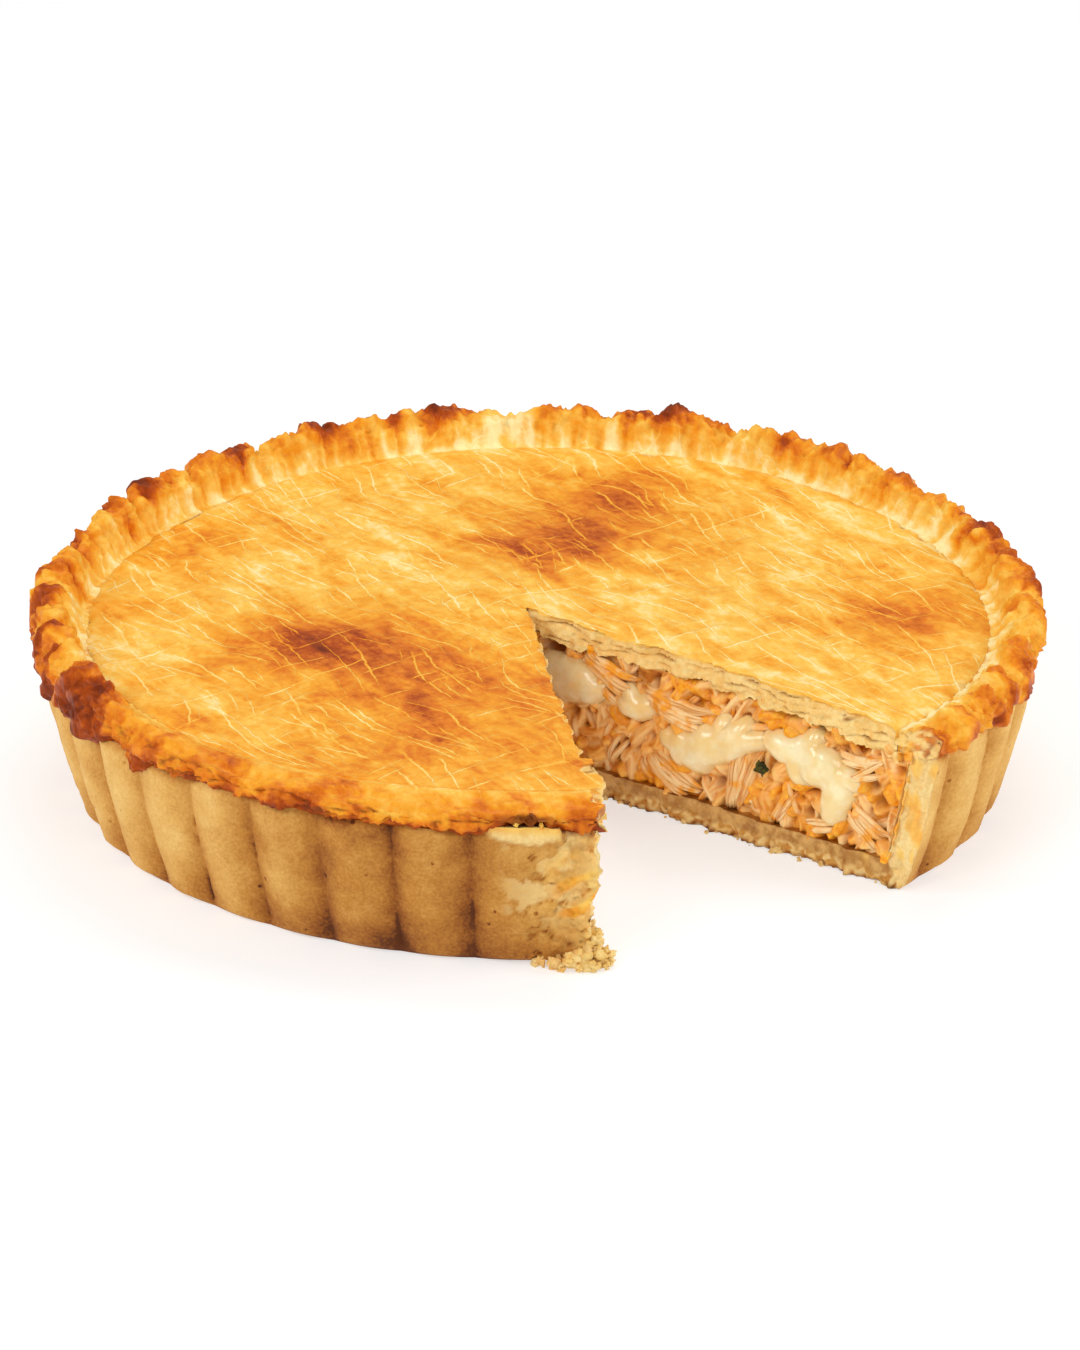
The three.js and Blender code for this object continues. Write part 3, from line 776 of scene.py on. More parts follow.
def rim_browning(section, spots, angle, share, forms):
    """Pale at the seam and in pleats, golden on the crest, brown on clusters of knobs and the lip's edge."""
    flat = flat_lip(angle)[:, None]
    crest = smooth(0.40, 0.56, share)
    outer = smooth(0.5, 0.72, share)
    patchy = smooth(-0.45, 0.5, noise(spots, 9, 51))
    streaked = smooth(-0.1, 0.5, flat_noise(angle[:, None] * PLEAT_RADIUS, section[..., 0] * 0.15, 6, 49))
    on_left = smooth(0.2, 0.9, -np.cos(angle))[:, None]
    clusters = 0.30 + 0.70 * smooth(-0.15, 0.25, flat_noise(angle * RIM_RADIUS, 0, 13, 55))[:, None]
    bake = 0.09 + (0.16 + 0.22 * streaked * (1 - 0.6 * flat)) * smooth(0.15, 0.45, share)
    bake = bake - 0.25 * forms["pleats"] + flat * (0.14 + 0.06 * streaked)
    bake = bake + 0.10 * on_left * smooth(0.5, 0.36, share)
    bake = bake + 0.32 * clusters * crest * (1 - flat) * (1 - 0.5 * low_end(angle)[:, None])
    bake = bake + 0.06 * outer + (0.1 + 0.25 * flat) * smooth(0.72, 0.9, share)
    knobs = clusters * forms["tops"] * forms["knob_bake"] * (0.4 + 0.6 * patchy)
    bake = bake + 0.66 * knobs * (1 - 0.85 * flat) + 0.16 * flat * (patchy - 0.3) * outer
    bake = bake + 0.08 * droop(angle)[:, None] * smooth(0.4, 0.7, share)
    return bake - 0.5 * np.maximum(bake - 0.72, 0)


def rim_cut(rim, cut, edge, hidden, bake):
    """The flaky cut face of the rim, from its skin to the hidden side."""
    share = np.linspace(0, 1, RIM_STEPS)[:, None]
    mix = np.linspace(0, 1, RIM_CAP_STEPS)[None, :]
    under = hidden[1] + (hidden[0] - hidden[1]) * share
    face = edge[:, None] * (1 - mix[..., None]) + under[:, None] * mix[..., None]
    run = np.linalg.norm(face[..., :2] - APEX, axis=-1)
    push, slit = flakes(cut, run, 50 - face[..., 2], RIM_LAYER_PITCH)
    push = push * smooth(0.0, 0.25, mix) * smooth(0, 0.06, share)
    face = face + push[..., None] * cut["out"]
    toasted = smooth(0.0, 0.3, cut_noise(cut, 32, run, face[..., 2], 2.6))
    crumb = smooth(0.02, 0.2, mix) * (1 - 0.8 * toasted)
    rim.grid(face, flip=cut["row"] == 0, crumb=crumb, slit=slit, bake=0.2 + bake[:, None])


def rim_piece():
    rim = Piece("crimped_rim")
    phi = np.linspace(*SWEEP, RIM_STATIONS)
    middle = on_rays(phi, RIM_RADIUS - 4, 0)
    angle = np.arctan2(middle[:, 1], middle[:, 0])
    phi = phi[:, None]
    share = np.linspace(0, 1, RIM_STEPS)[None, :]
    section = smooth_curve(rim_section(angle), RIM_STEPS)
    slope = np.gradient(section, axis=1)
    facing = np.stack([-slope[..., 1], slope[..., 0]], axis=-1)
    facing /= np.linalg.norm(facing, axis=-1, keepdims=True)
    push, forms = rim_relief(section, on_rays(phi, section[..., 0], section[..., 1]), angle, share)
    void = np.exp(-((angle[:, None] - VOID["angle"]) / VOID["half"]) ** 2) * smooth(0.6, 0.66, share)
    void = void * smooth(VOID["low"], VOID["low"] + VOID["soft"], section[..., 1])
    void = void * smooth(VOID["high"], VOID["high"] - VOID["soft"], section[..., 1])
    moved = section + (push - VOID["depth"] * void)[..., None] * facing
    spots = on_rays(phi, np.minimum(moved[..., 0], RIM_RADIUS + RIM_SWELL), moved[..., 1])
    run = np.linalg.norm(spots[..., :2] - APEX, axis=-1)
    spots = pull_to_cuts(spots, np.broadcast_to(phi, run.shape), run)
    bake = rim_browning(section, spots, angle, share, forms)
    dashes = 0.6 * (seam_dashes(angle) * (1 - 0.8 * flat_lip(angle)))[:, None]
    # Painted shade at the seam's holes, under the rim's lower edge, in the lip's cracks and in the void.
    crease = smooth(0.14, 0.08, share) * dashes + 0.45 * smooth(0.95, 1.0, share)
    crease = np.clip(crease + 0.8 * forms["cracked"] + void, 0, 1)
    rim.grid(spots, bake=bake, crease=crease, crackle=0.5 * smooth(0.5, 0.3, share))
    hidden = np.stack([spots[:, -1], spots[:, 0]], axis=1)
    hidden[:, 1, 2] = hidden[:, 0, 2]
    rim.grid(hidden, bake=0.2)
    rim.grid(np.stack([hidden[:, 1], spots[:, 0]], axis=1), bake=0.2)
    for cut in CUTS.values():
        row = cut["row"]
        rim_cut(rim, cut, spots[row], hidden[row], bake[row])
    return rim.finish("pastry_lid", crust)


rim_piece()

# %% [markdown]
# ## Shortcrust case
# The wall kept the print of the tin: forty rounded flutes, sandy and matt, with painted shade in the valleys,
# at the foot and over the front. Its cut face shows an L: a base that soaked up gravy, so it is waxy above
# and crumbly below, and the wall's creamy section. One material serves it all, led by masks for cut pastry,
# soaked pastry, and toasting together with painted shade.

# %% Case material
WALL_STOPS = [
    (0.0, srgb(240, 202, 124)), (0.3, srgb(222, 170, 88)), (0.6, srgb(190, 128, 50)),
    (0.85, srgb(150, 86, 26)), (1.0, srgb(100, 50, 14)),
]


def case_material():
    material, tree, shader = new_material("sandy_shortcrust", Roughness=0.8, Specular_IOR_Level=0.3)
    spot = place_mm(tree)
    grains = pastry_grain(tree, 0.8)
    blotch = grain(tree, spot, 16, 4, 0.6)
    cloudy = grain(tree, spot, 3.5, 4, 0.65)
    specks = put(tree, "ShaderNodeTexVoronoi", {"Vector": spot, "Scale": 0.16}).outputs[0]
    specks = work(tree, "MULTIPLY_ADD", grain(tree, spot, 1.5, 3), 0.25, specks)
    # This mask holds real browning and painted shade: the ramp darkens flute valleys, the foot, cracks and
    # the front wall.
    toast = vary(tree, mask(tree, "toast"), blotch, 0.7)
    toast = vary(tree, toast, grains["Flecks"], 0.9)
    pitted = between(tree, specks, 0.16, 0.24, 1, 0)
    wall = ramp(tree, work(tree, "MULTIPLY_ADD", pitted, 0.4, toast, clamp=True), WALL_STOPS)
    crumb = blend(tree, between(tree, grains["Flecks"], 0.3, 0.7), srgb(236, 192, 112), srgb(254, 232, 166))
    soaked = blend(tree, between(tree, cloudy, 0.35, 0.65), srgb(172, 118, 52), srgb(216, 170, 98))
    yolk = blend(tree, between(tree, blotch, 0.4, 0.6), srgb(240, 160, 36), srgb(253, 206, 96))
    colour = blend(tree, mask(tree, "crumb"), wall, crumb)
    colour = blend(tree, mask(tree, "soaked"), colour, soaked)
    wire(tree, shader, Base_Color=blend(tree, mask(tree, "smear"), colour, yolk),
         Roughness=work(tree, "MULTIPLY_ADD", mask(tree, "soaked"), -0.4, 0.82),
         Normal=bump(tree, grains["Height"], 0.55, 0.4))
    return material


shortcrust = case_material()
print("material:", shortcrust.name)

# %% [markdown]
# ## The case as one mesh
# The wall is a grid of rays and heights. Beside the left cut its skin was torn off in plates, which leave
# pale crumb with ragged edges, and under the front lip a half-moon flap has come loose. Both are masks: they
# push the wall in or out and tell the material what shows. The cut faces and the inside close the mesh, and
# a flange is tucked in behind each cut, so that no light gets in between wall and filling.

# %% Case mesh
WALL_STATIONS = 960
WALL_STEPS = 66
BASE_STEPS = 200
CASE_CAP_STEPS = 20
CORNER_STEPS = 20
BASE_WANDER = 0.4
TUCK = 5
TEAR_FADE = 2.2
FLAP = {"angle": math.radians(-91.4), "half": math.radians(4.7), "top": 38.2, "drop": 3.9, "stands": 1.5,
        "rise": 1.9}


def wall_edge(cut, z):
    """How far the torn edge of the wall stands into the gap at each height."""
    fine = 0.8 * cut_noise(cut, 51, z, 0, 3.4) + 0.5 * cut_noise(cut, 52, z, 0, 1.3)
    return cut["ragged"] * (cut_noise(cut, 50, z, 0, 9) + fine)


def torn_flap(angle, z):
    """1 on the half-moon of pastry that has come loose under the front lip, 0 off it."""
    run = angle * FOOT_RADIUS
    ragged = 0.16 * flat_noise(run, z, 3.2, 71) + 0.08 * flat_noise(run, z, 1.1, 72)
    across = (angle - FLAP["angle"]) / FLAP["half"] + ragged
    low = FLAP["top"] - FLAP["drop"] * np.sqrt(np.clip(1 - across ** 2, 0, 1)) + 3 * ragged
    return smooth(-0.2, 0.4, z - low) * smooth(1.0, 0.9, np.abs(across))


def wall_forms(spots, angle, z):
    """Masks of the wall's flutes, cracks, torn plates and loose flap."""
    torn = near(angle, LEFT_CUT, 3, 13)
    wave = np.abs(np.sin((angle + 0.006 * flat_noise(z, 0, 4, 64) - FLUTE_PHASE) * FLUTE_COUNT / 2))
    split = smooth(-0.05, 0.45, flat_noise(angle * 40, z, 13, 65)) * (1 - torn)
    return {"torn": torn, "dip": valley(angle), "flap": torn_flap(angle, z), "peel": crags(spots, 7, 3, 67),
            "cracked": 0.55 * smooth(0.05, 0.0, wave) * split,
            "chipped": smooth(-0.04, 0.04, crags(spots, 3.4, 2, 73)) - 0.5}


def wall_relief(spots, forms):
    uneven = 0.7 * noise(spots, 22, 61) + 0.25 * noise(spots, 6, 62) + 0.10 * crags(spots, 1.8, 2, 63)
    ledge = smooth(-0.06, 0.06, forms["peel"]) - 0.5
    plates = 0.7 * forms["peel"] + 1.6 * ledge + 0.9 * forms["chipped"] - 0.5
    return uneven - 0.8 * forms["cracked"] + forms["torn"] * plates + FLAP["stands"] * forms["flap"]


def wall_toast_and_shade(spots, angle, z, forms, split_line):
    """Painted shade in flute valleys, at the foot, in cracks and over the front; browner where scorched here
    and there under the rim.
    """
    torn = forms["torn"]
    # Painted shade over the front of the wall, which the side lights reach less.
    front = smooth(0.1, 0.9, -np.sin(angle)) * smooth(0.75, 0.35, np.abs(np.cos(angle))) * (1 - 0.5 * torn)
    scorched = smooth(-0.2, 0.5, noise(spots, 12, 68)) * smooth(WALL_TOP - 5, WALL_TOP, z)
    # Painted shade in the flute valleys, at the foot and in the cracks.
    toast = 0.22 + 0.34 * forms["dip"] + 0.24 * smooth(16, 0, z) + 0.6 * forms["cracked"]
    toast = toast - 0.2 * torn * smooth(0.3, -0.3, forms["chipped"]) + 0.32 * front
    return toast + 0.8 * torn * split_line + 0.3 * scorched


def wall_surface(phi, z):
    """Points of the wall, and its masks for the material."""
    ridge = ridge_radius(z)
    middle = on_rays(phi, ridge, z)
    angle = np.arctan2(middle[..., 1], middle[..., 0])
    radius = ridge - FLUTE_DEPTH * valley(angle) * smooth(-1, 2.5, z)
    radius = radius - 1.6 * smooth(1.6, 0.0, z) - 1.2 * smooth(WALL_TOP - 1.5, WALL_TOP, z)
    plain = on_rays(phi, radius, z)
    forms = wall_forms(plain, angle, z)
    torn, flap, peel = forms["torn"], forms["flap"], forms["peel"]
    spots = on_rays(phi, radius + wall_relief(plain, forms) * smooth(0, 2, z), z)
    split_line = smooth(0.05, 0.0, np.abs(peel)) * smooth(-0.3, 0.1, noise(plain, 6, 74))
    x, _, tall = np.moveaxis(spots, -1, 0)
    greasy = smooth(-0.2, 0.3, flat_noise(0.8 * tall - 0.6 * x, 0.25 * (x + tall), 4.5, 69))
    greasy = greasy * smooth(8, 14, z) * smooth(34, 27, z) * near(angle, LEFT_CUT, 3.2, 8.5)
    edge = smooth(math.radians(4.5), math.radians(0.8), angle_between(angle, LEFT_CUT) + 0.02 * peel)
    smear = np.max([0.95 * greasy, 0.55 * edge, 0.8 * flap * smooth(35.4, 36.6, z)], axis=0)
    plates = smooth(0.04, -0.04, peel + 0.25 * (1 - torn)) * smooth(0, 0.12, torn) * smooth(8, 18, z)
    crumb = np.max([(0.3 + 0.6 * torn) * plates, 0.9 * flap, 0.9 * edge], axis=0) * (1 - 0.8 * split_line)
    toast = wall_toast_and_shade(plain, angle, z, forms, split_line)
    spots[..., 2] += FLAP["rise"] * flap * smooth(33, WALL_TOP, z)
    return spots, {"toast": toast, "crumb": crumb, "smear": smear}


def case_cut(case, cut, outer, inner_foot):
    """One cut face, base and wall in a single bent grid, with a flange tucked in behind the wall."""
    base_share = np.linspace(0, 1, BASE_STEPS, endpoint=False)
    outer_run = np.linalg.norm(outer[:, :2] - APEX, axis=-1)
    low_run = np.concatenate([base_share * outer_run[0], outer_run])[:, None]
    low_z = np.concatenate([np.zeros(BASE_STEPS), outer[:, 2]])[:, None]
    wall_z = np.linspace(BASE_THICKNESS, WALL_TOP, WALL_STEPS)
    wall_run = reach_to(cut["angle"], inner_radius(wall_z))
    high_run = np.concatenate([base_share * np.linalg.norm(inner_foot[:2] - APEX), wall_run])[:, None]
    high_z = np.concatenate([np.full(BASE_STEPS, BASE_THICKNESS), wall_z])[:, None]
    mix = np.linspace(0, 1, CASE_CAP_STEPS)[None, :]
    run = low_run * (1 - mix) + high_run * mix
    height = low_z * (1 - mix) + high_z * mix
    step = np.arange(BASE_STEPS + WALL_STEPS)[:, None]
    on_base = step < BASE_STEPS
    climb = smooth(BASE_STEPS - CORNER_STEPS, BASE_STEPS, step)
    crumbly = np.where(on_base, smooth(3.4, 2.0, height + 0.8 * cut_noise(cut, 40, run, 0, 5)), 0.25)
    grit = 1.4 * cut_noise(cut, 41, run, height, 4.6) + 1.0 * cut_noise(cut, 42, run, height, 1.3)
    waxy = 0.7 * cut_noise(cut, 43, run, height * 0.6, 9) + 0.5 * cut_noise(cut, 47, run, height, 2.6)
    layers, _ = flakes(cut, run, low_run - run, LAYER_PITCH)
    inside = np.where(on_base, 1.0, smooth(0.0, 0.15, mix))
    push = inside * (crumbly * grit + (1 - crumbly) * waxy + 0.7 * layers * ~on_base)
    push = push + (1 - climb) * edge_wander(cut, run, BASE_WANDER) + climb * wall_edge(cut, height)
    face = on_cut(cut, run, height, push)
    toasted = np.where(on_base, 0.5 * smooth(1.4, 0.0, height), 0.3 * smooth(0.12, 0.0, mix))
    soaked = np.where(on_base, smooth(2.2, 3.6, height + cut_noise(cut, 44, run, 0, 4)), 0.2 * mix)
    yolky = 0.8 * climb * smooth(0.0, 0.4, cut_noise(cut, 45, run * 1.4, height * 0.5, 4))
    speckled = smooth(-0.25, 0.25, cut_noise(cut, 46, run, height, 1.7))
    crumb = np.where(on_base, 0.85 * speckled, 1.0) * (1 - toasted)
    on_left = cut["row"] != 0
    ids = case.grid(face, flip=on_left, crumb=crumb, toast=0.5 + toasted, soaked=soaked, smear=yolky)
    inner_edge = face[BASE_STEPS:, -1]
    tucked = np.stack([inner_edge, inner_edge - TUCK * cut["out"]], axis=1)
    case.grid(tucked, flip=not on_left, crumb=0.8, toast=0.5, soaked=0.4)
    return ids[:BASE_STEPS]


def case_piece():
    case = Piece("fluted_case")
    phi = np.linspace(*SWEEP, WALL_STATIONS)[:, None]
    phi_all, z = np.broadcast_arrays(phi, np.linspace(0, WALL_TOP, WALL_STEPS)[None, :])
    wall, looks = wall_surface(phi_all, z)
    for cut in CUTS.values():
        away = FOOT_RADIUS * angle_between(phi_all, cut["angle"])
        wall += (wall_edge(cut, z) * np.exp(-away / TEAR_FADE))[..., None] * cut["out"]
    wall_ids = case.grid(wall, **looks)
    inner_z = np.array([[WALL_TOP, BASE_THICKNESS]])
    inner = on_rays(phi, inner_radius(inner_z), inner_z)
    inner_ids = case.grid(inner, toast=0.3, crumb=1.0)
    case.grid(np.stack([wall[:, -1], inner[:, 0]], axis=1), toast=0.3, crumb=0.5)
    right, left = (case_cut(case, cut, wall[cut["row"]], inner[cut["row"], 1]) for cut in CUTS.values())
    case.cap([right[:, -1], inner_ids[:, 1], left[::-1, -1]])
    case.cap([right[:, 0], wall_ids[:, 0], left[::-1, 0]], flip=True)
    return case.finish("pastry_case", shortcrust)


case_piece()

# %% [markdown]
# ## Sauced chicken
# Cooked chicken pulls apart into strands. Coated with sauce they stick into a web full of small hollows. The
# web is a height grid on each cut face: hundreds of short bent strands are laid on it, and at each point the
# highest one wins. That leaves real hollows between them, and tells the material what each point is.

# %% Filling material
def filling_material():
    material, tree, shader = new_material("sauced_chicken", Subsurface_Weight=0.1, Subsurface_Scale=0.001,
                                          Subsurface_Radius=(1.0, 0.7, 0.4), Coat_Roughness=0.2,
                                          Specular_IOR_Level=0.25)
    patches = grain(tree, place_mm(tree), 1.4, 4, 0.6)
    patchy = between(tree, patches, 0.3, 0.7)
    meat = blend(tree, mask(tree, "tint"), srgb(238, 180, 98), srgb(254, 224, 164))
    sauce = blend(tree, patchy, srgb(242, 148, 16), srgb(254, 192, 58))
    colour = blend(tree, mask(tree, "sauce"), meat, sauce)
    colour = blend(tree, mask(tree, "groove"), colour, srgb(222, 138, 40))
    # Painted shade: the hollows between strands are darkened towards deep brown.
    deep = work(tree, "MULTIPLY", mask(tree, "hollow"), 0.8)
    wire(tree, shader, Base_Color=blend(tree, deep, colour, srgb(156, 80, 16)),
         Roughness=between(tree, patches, 0.3, 0.7, 0.3, 0.5),
         Coat_Weight=between(tree, mask(tree, "sauce"), 0.0, 1.0, 0.03, 0.1),
         Normal=bump(tree, patches, 0.35, 0.25))
    return material


filling = filling_material()
print("material:", filling.name)

# %% Strands laid on a height grid
FACE_STEP = 0.33
WEB_STRANDS = 540
WEB_BACK = -4.6
WEB_LOW = BASE_THICKNESS - 1
WEB_HIGH = 39.5
FILLING_HIGH = 38
WALL_MIDDLE = 30
LID_OVERLAP = 1.2


def under_lid(cut, along):
    x = APEX[0] + along * math.cos(cut["angle"])
    y = APEX[1] + along * math.sin(cut["angle"])
    return lid_top(np.hypot(x, y), np.arctan2(y, x)) - LID_THICKNESS + LID_OVERLAP


def lay_strand(web, strand, number):
    """Raises the web where a strand stands higher than what lies there, and notes what it is made of."""
    half = strand["length"] / 2
    edge = half + strand["width"]
    columns = slice(*np.searchsorted(web["along"], (strand["along"] - edge, strand["along"] + edge)))
    rows = slice(*np.searchsorted(web["height"], (strand["height"] - edge, strand["height"] + edge)))
    right = web["along"][columns, None] - strand["along"]
    up = web["height"][None, rows] - strand["height"]
    if right.size == 0 or up.size == 0:
        return
    run = right * math.cos(strand["turn"]) + up * math.sin(strand["turn"])
    side = up * math.cos(strand["turn"]) - right * math.sin(strand["turn"])
    share = run / half
    side = side - strand["bend"] * (np.minimum(share ** 2, 1) - 0.5)
    away = np.hypot(side, np.maximum(np.abs(run) - half, 0)) / strand["width"]
    fibre = flat_noise(side + 7.3 * number, run * 0.13, 0.7, 401)
    rise = strand["level"] + 1.25 * strand["width"] * np.sqrt(np.clip(1 - away ** 2, 0, 1))
    rise = rise - 1.6 * np.abs(share) ** 3 + 0.22 * fibre
    wins = (away < 1) & (rise > web["reach"][columns, rows])
    made = {"reach": rise, "sauce": strand["sauce"], "tint": strand["tint"] + 0.45 * fibre,
            "groove": smooth(-0.15, -0.5, fibre)}
    for key, value in made.items():
        web[key][columns, rows] = np.where(wins, value, web[key][columns, rows])


def lay_web(cut):
    draw = np.random.default_rng(cut["seed"] + 60)
    longest = float(reach_to(cut["angle"], inner_radius(WALL_MIDDLE)))
    along = np.arange(0.5, longest, FACE_STEP)
    height = np.arange(WEB_LOW, WEB_HIGH, FACE_STEP)
    blank = np.zeros((len(along), len(height)))
    web = {"along": along, "height": height, "reach": blank + WEB_BACK, "sauce": blank + 0.8,
           "tint": blank.copy(), "groove": blank.copy()}
    for number in range(WEB_STRANDS):
        place = {"along": draw.uniform(0, longest), "height": draw.uniform(WEB_LOW, FILLING_HIGH)}
        saucy = 0.9 * float(cut_noise(cut, 61, place["along"], place["height"], 12)) + draw.normal(0, 0.3)
        curd = saucy > -0.12
        strand = {
            "turn": math.radians(draw.uniform(15, 165)),
            "level": draw.uniform(WEB_BACK, -1.6), "bend": draw.normal(0, 0.9),
            "length": draw.uniform(3, 7) if curd else draw.uniform(7, 16),
            "width": draw.uniform(1.0, 2.1) if curd else draw.uniform(0.8, 1.5),
            "sauce": float(np.clip(0.55 + 0.9 * saucy, 0, 1)), "tint": draw.uniform(0.2, 0.9),
        }
        lay_strand(web, {**place, **strand}, number)
    from_edge = np.minimum(height - height[0], FILLING_HIGH - height)[None, :]
    from_edge = np.minimum(from_edge, (longest - along)[:, None])
    packed = -2.4 + 1.3 * cut_noise(cut, 62, along[:, None], height[None, :], 3.5)
    packed = packed + 2.2 * smooth(6, 0, longest - along)[:, None]
    web["reach"] = np.maximum(web["reach"], packed - 2.2 * smooth(0.5, 5, from_edge))
    return web


def soften(values, passes):
    for _ in range(passes):
        padded = np.pad(values, 1, mode="edge")
        beside = padded[:-2, 1:-1] + padded[2:, 1:-1]
        above = padded[1:-1, :-2] + padded[1:-1, 2:]
        values = (4 * values + beside + above) / 8
    return values


webs = {name: lay_web(cut) for name, cut in CUTS.items()}
print("web grid:", webs["right"]["reach"].shape)

# %% [markdown]
# ## The filling's core
# Behind the webs the filling is a solid wedge-cut disc, as in the solids. The two webs are its cut faces,
# bent to fit between base, wall and lid, and the rest closes it, so nothing can be seen through. A few
# deeper hollows are placed one by one.

# %% Filling mesh
CORE_STATIONS = 90
CORE_TOP = 35.0
CORE_GAP = 0.3
HOLLOW_DEPTH = 3.0
# Distance along the cut, height and size
HOLLOWS = [
    (7, 34.5, 2.6), (10, 33.5, 1.6), (35, 35, 2.4), (39, 34.5, 2.0), (52, 33, 2.2), (72, 31.5, 1.8),
    (107, 26, 2.0), (109.5, 22, 1.9), (14, 20, 1.4), (60, 13, 1.6), (88, 12, 1.4), (31, 16, 1.3),
]


def core_face(core, name):
    """One web, bent to fit between base, wall and lid."""
    cut, web = CUTS[name], webs[name]
    along, height = web["along"][:, None], web["height"][None, :]
    reach = soften(web["reach"], 1)
    # Painted shade for the hollows, where the web lies deeper than its softened self, and for the listed
    # pits.
    hollow = smooth(0.5, 2.6, soften(web["reach"], 60) - reach)
    for hollow_along, hollow_height, size in HOLLOWS:
        pit = np.exp(-(np.hypot(along - hollow_along, height - hollow_height) / size) ** 2)
        reach = reach - HOLLOW_DEPTH * pit
        hollow = np.maximum(hollow, pit)
    low, high, longest = height[0, 0], height[0, -1], along[-1, 0]
    tall = low + (height - low) / (high - low) * (under_lid(cut, along) - low)
    wall_run = reach_to(cut["angle"], inner_radius(tall))
    run = along + (wall_run + 0.5 - longest) * (along / longest) ** 3
    looks = {key: soften(web[key], 1) for key in ("sauce", "tint", "groove")}
    return core.grid(on_cut(cut, run, tall, reach), flip=name == "left", hollow=hollow, **looks)


def core_piece():
    core = Piece("chicken_core")
    right, left = (core_face(core, name) for name in CUTS)
    phi = np.linspace(*SWEEP, CORE_STATIONS)[1:-1, None]
    z = np.array([[BASE_THICKNESS, CORE_TOP]])
    ring = core.grid(on_rays(phi, inner_radius(z) - CORE_GAP, z), sauce=0.8)
    core.cap([right[:, 0], ring[:, 0], left[::-1, 0]], flip=True)
    core.cap([right[:, -1], ring[:, 1], left[::-1, -1]])
    core.cap([ring[0, ::-1], right[-1]])
    core.cap([ring[-1], left[-1, ::-1]])
    return core.finish("chicken_filling", filling)


core_piece()

# %% [markdown]
# ## Chicken shreds
# The larger shreds lie on the web in bundles that still hold together, each a sheaf of muscle fibres. A shred
# is a bent, tapered tube with ridged sides; its ends dive into the sauce. The bundles of the right face are
# placed one by one, as they lie on the real pie, and loose shreds are strewn over both faces by seeded draws.

# %% Shred material
def shred_material():
    material, tree, shader = new_material("chicken_fibres", Roughness=0.42, Subsurface_Weight=0.12,
                                          Subsurface_Scale=0.001, Subsurface_Radius=(1.0, 0.7, 0.45),
                                          Specular_IOR_Level=0.3)
    patches = grain(tree, place_mm(tree), 4, 3)
    meat = blend(tree, mask(tree, "tint"), srgb(236, 182, 108), srgb(254, 224, 168))
    stained = blend(tree, between(tree, patches, 0.44, 0.66), meat, srgb(246, 168, 50))
    wire(tree, shader, Base_Color=blend(tree, mask(tree, "groove"), stained, srgb(206, 124, 40)),
         Normal=bump(tree, grain(tree, place_mm(tree), 0.8, 3), 0.3, 0.2))
    return material


fibres = shred_material()
print("material:", fibres.name)

# %% Shred meshes
# Distance along the cut, height, length, slope in degrees, number of strands, their spacing and width
BUNDLES = [
    (25, 32.2, 18, -28, 4, 2.3, 1.25), (46.5, 28.8, 20, -9, 3, 2.2, 1.6), (44, 11.8, 18, -31, 3, 2.0, 1.35),
    (66.5, 16, 20, 74, 3, 2.1, 1.45), (104, 13.5, 15, -34, 5, 1.35, 0.8), (102, 29.6, 13, 2, 2, 1.7, 0.95),
    (103.5, 26.4, 13, 30, 2, 1.7, 0.85), (79, 11.5, 13, 64, 2, 1.8, 0.9), (90, 9.5, 12, 12, 2, 1.6, 0.9),
    (28, 13.5, 11, 58, 2, 1.7, 0.9),
]
LOOSE_SHREDS = 40


def shred(piece, cut, draw, size, place):
    """One bent, tapered sheaf of fibres, flat on the cut face, with frayed ends that dive into the sauce."""
    seed = int(draw.integers(1, 9999))
    share = np.linspace(-1, 1, size["steps"])[:, None]
    around = np.linspace(0, 2 * math.pi, size["sides"])[None, :]
    lateral = size["width"] * np.cos(around)
    fray = 1 + 0.2 * flat_noise(1.3 * lateral, 4 * np.sign(share), 0.9, seed)
    run = 0.5 * size["length"] * share * fray
    taper = 1 - 0.6 * np.abs(share) ** 2.6
    ridges = flat_noise(lateral, run * 0.1, 0.62, seed + 1)
    splits = smooth(0.14, 0.0, np.abs(flat_noise(lateral, run * 0.06, 1.3, seed + 2)))
    facing = np.maximum(np.sin(around), 0)
    lift = 0.85 * size["width"] * np.sin(around) * taper + (0.3 * ridges - 0.4 * splits) * facing
    bend = draw.normal(0, 0.05 * size["length"])
    sideways = lateral * taper + bend * (share ** 2 - 0.4) + 0.3 * flat_noise(run, 0, 5, seed + 3)
    turn = place["turn"]
    along = place["along"] + run * math.cos(turn) - sideways * math.sin(turn)
    height = place["height"] + run * math.sin(turn) + sideways * math.cos(turn)
    height = np.clip(height, BASE_THICKNESS - 0.6, under_lid(cut, np.clip(along, 1, 110)))
    out = place["reach"] + lift - 2.4 * np.abs(share) ** 4 + 0.4 * flat_noise(run, 3, 6, seed + 4)
    tint = np.clip(place["tint"] + 0.5 * ridges, 0, 1)
    piece.grid(on_cut(cut, np.maximum(along, 1), height, out), tint=tint, groove=0.9 * splits * facing)


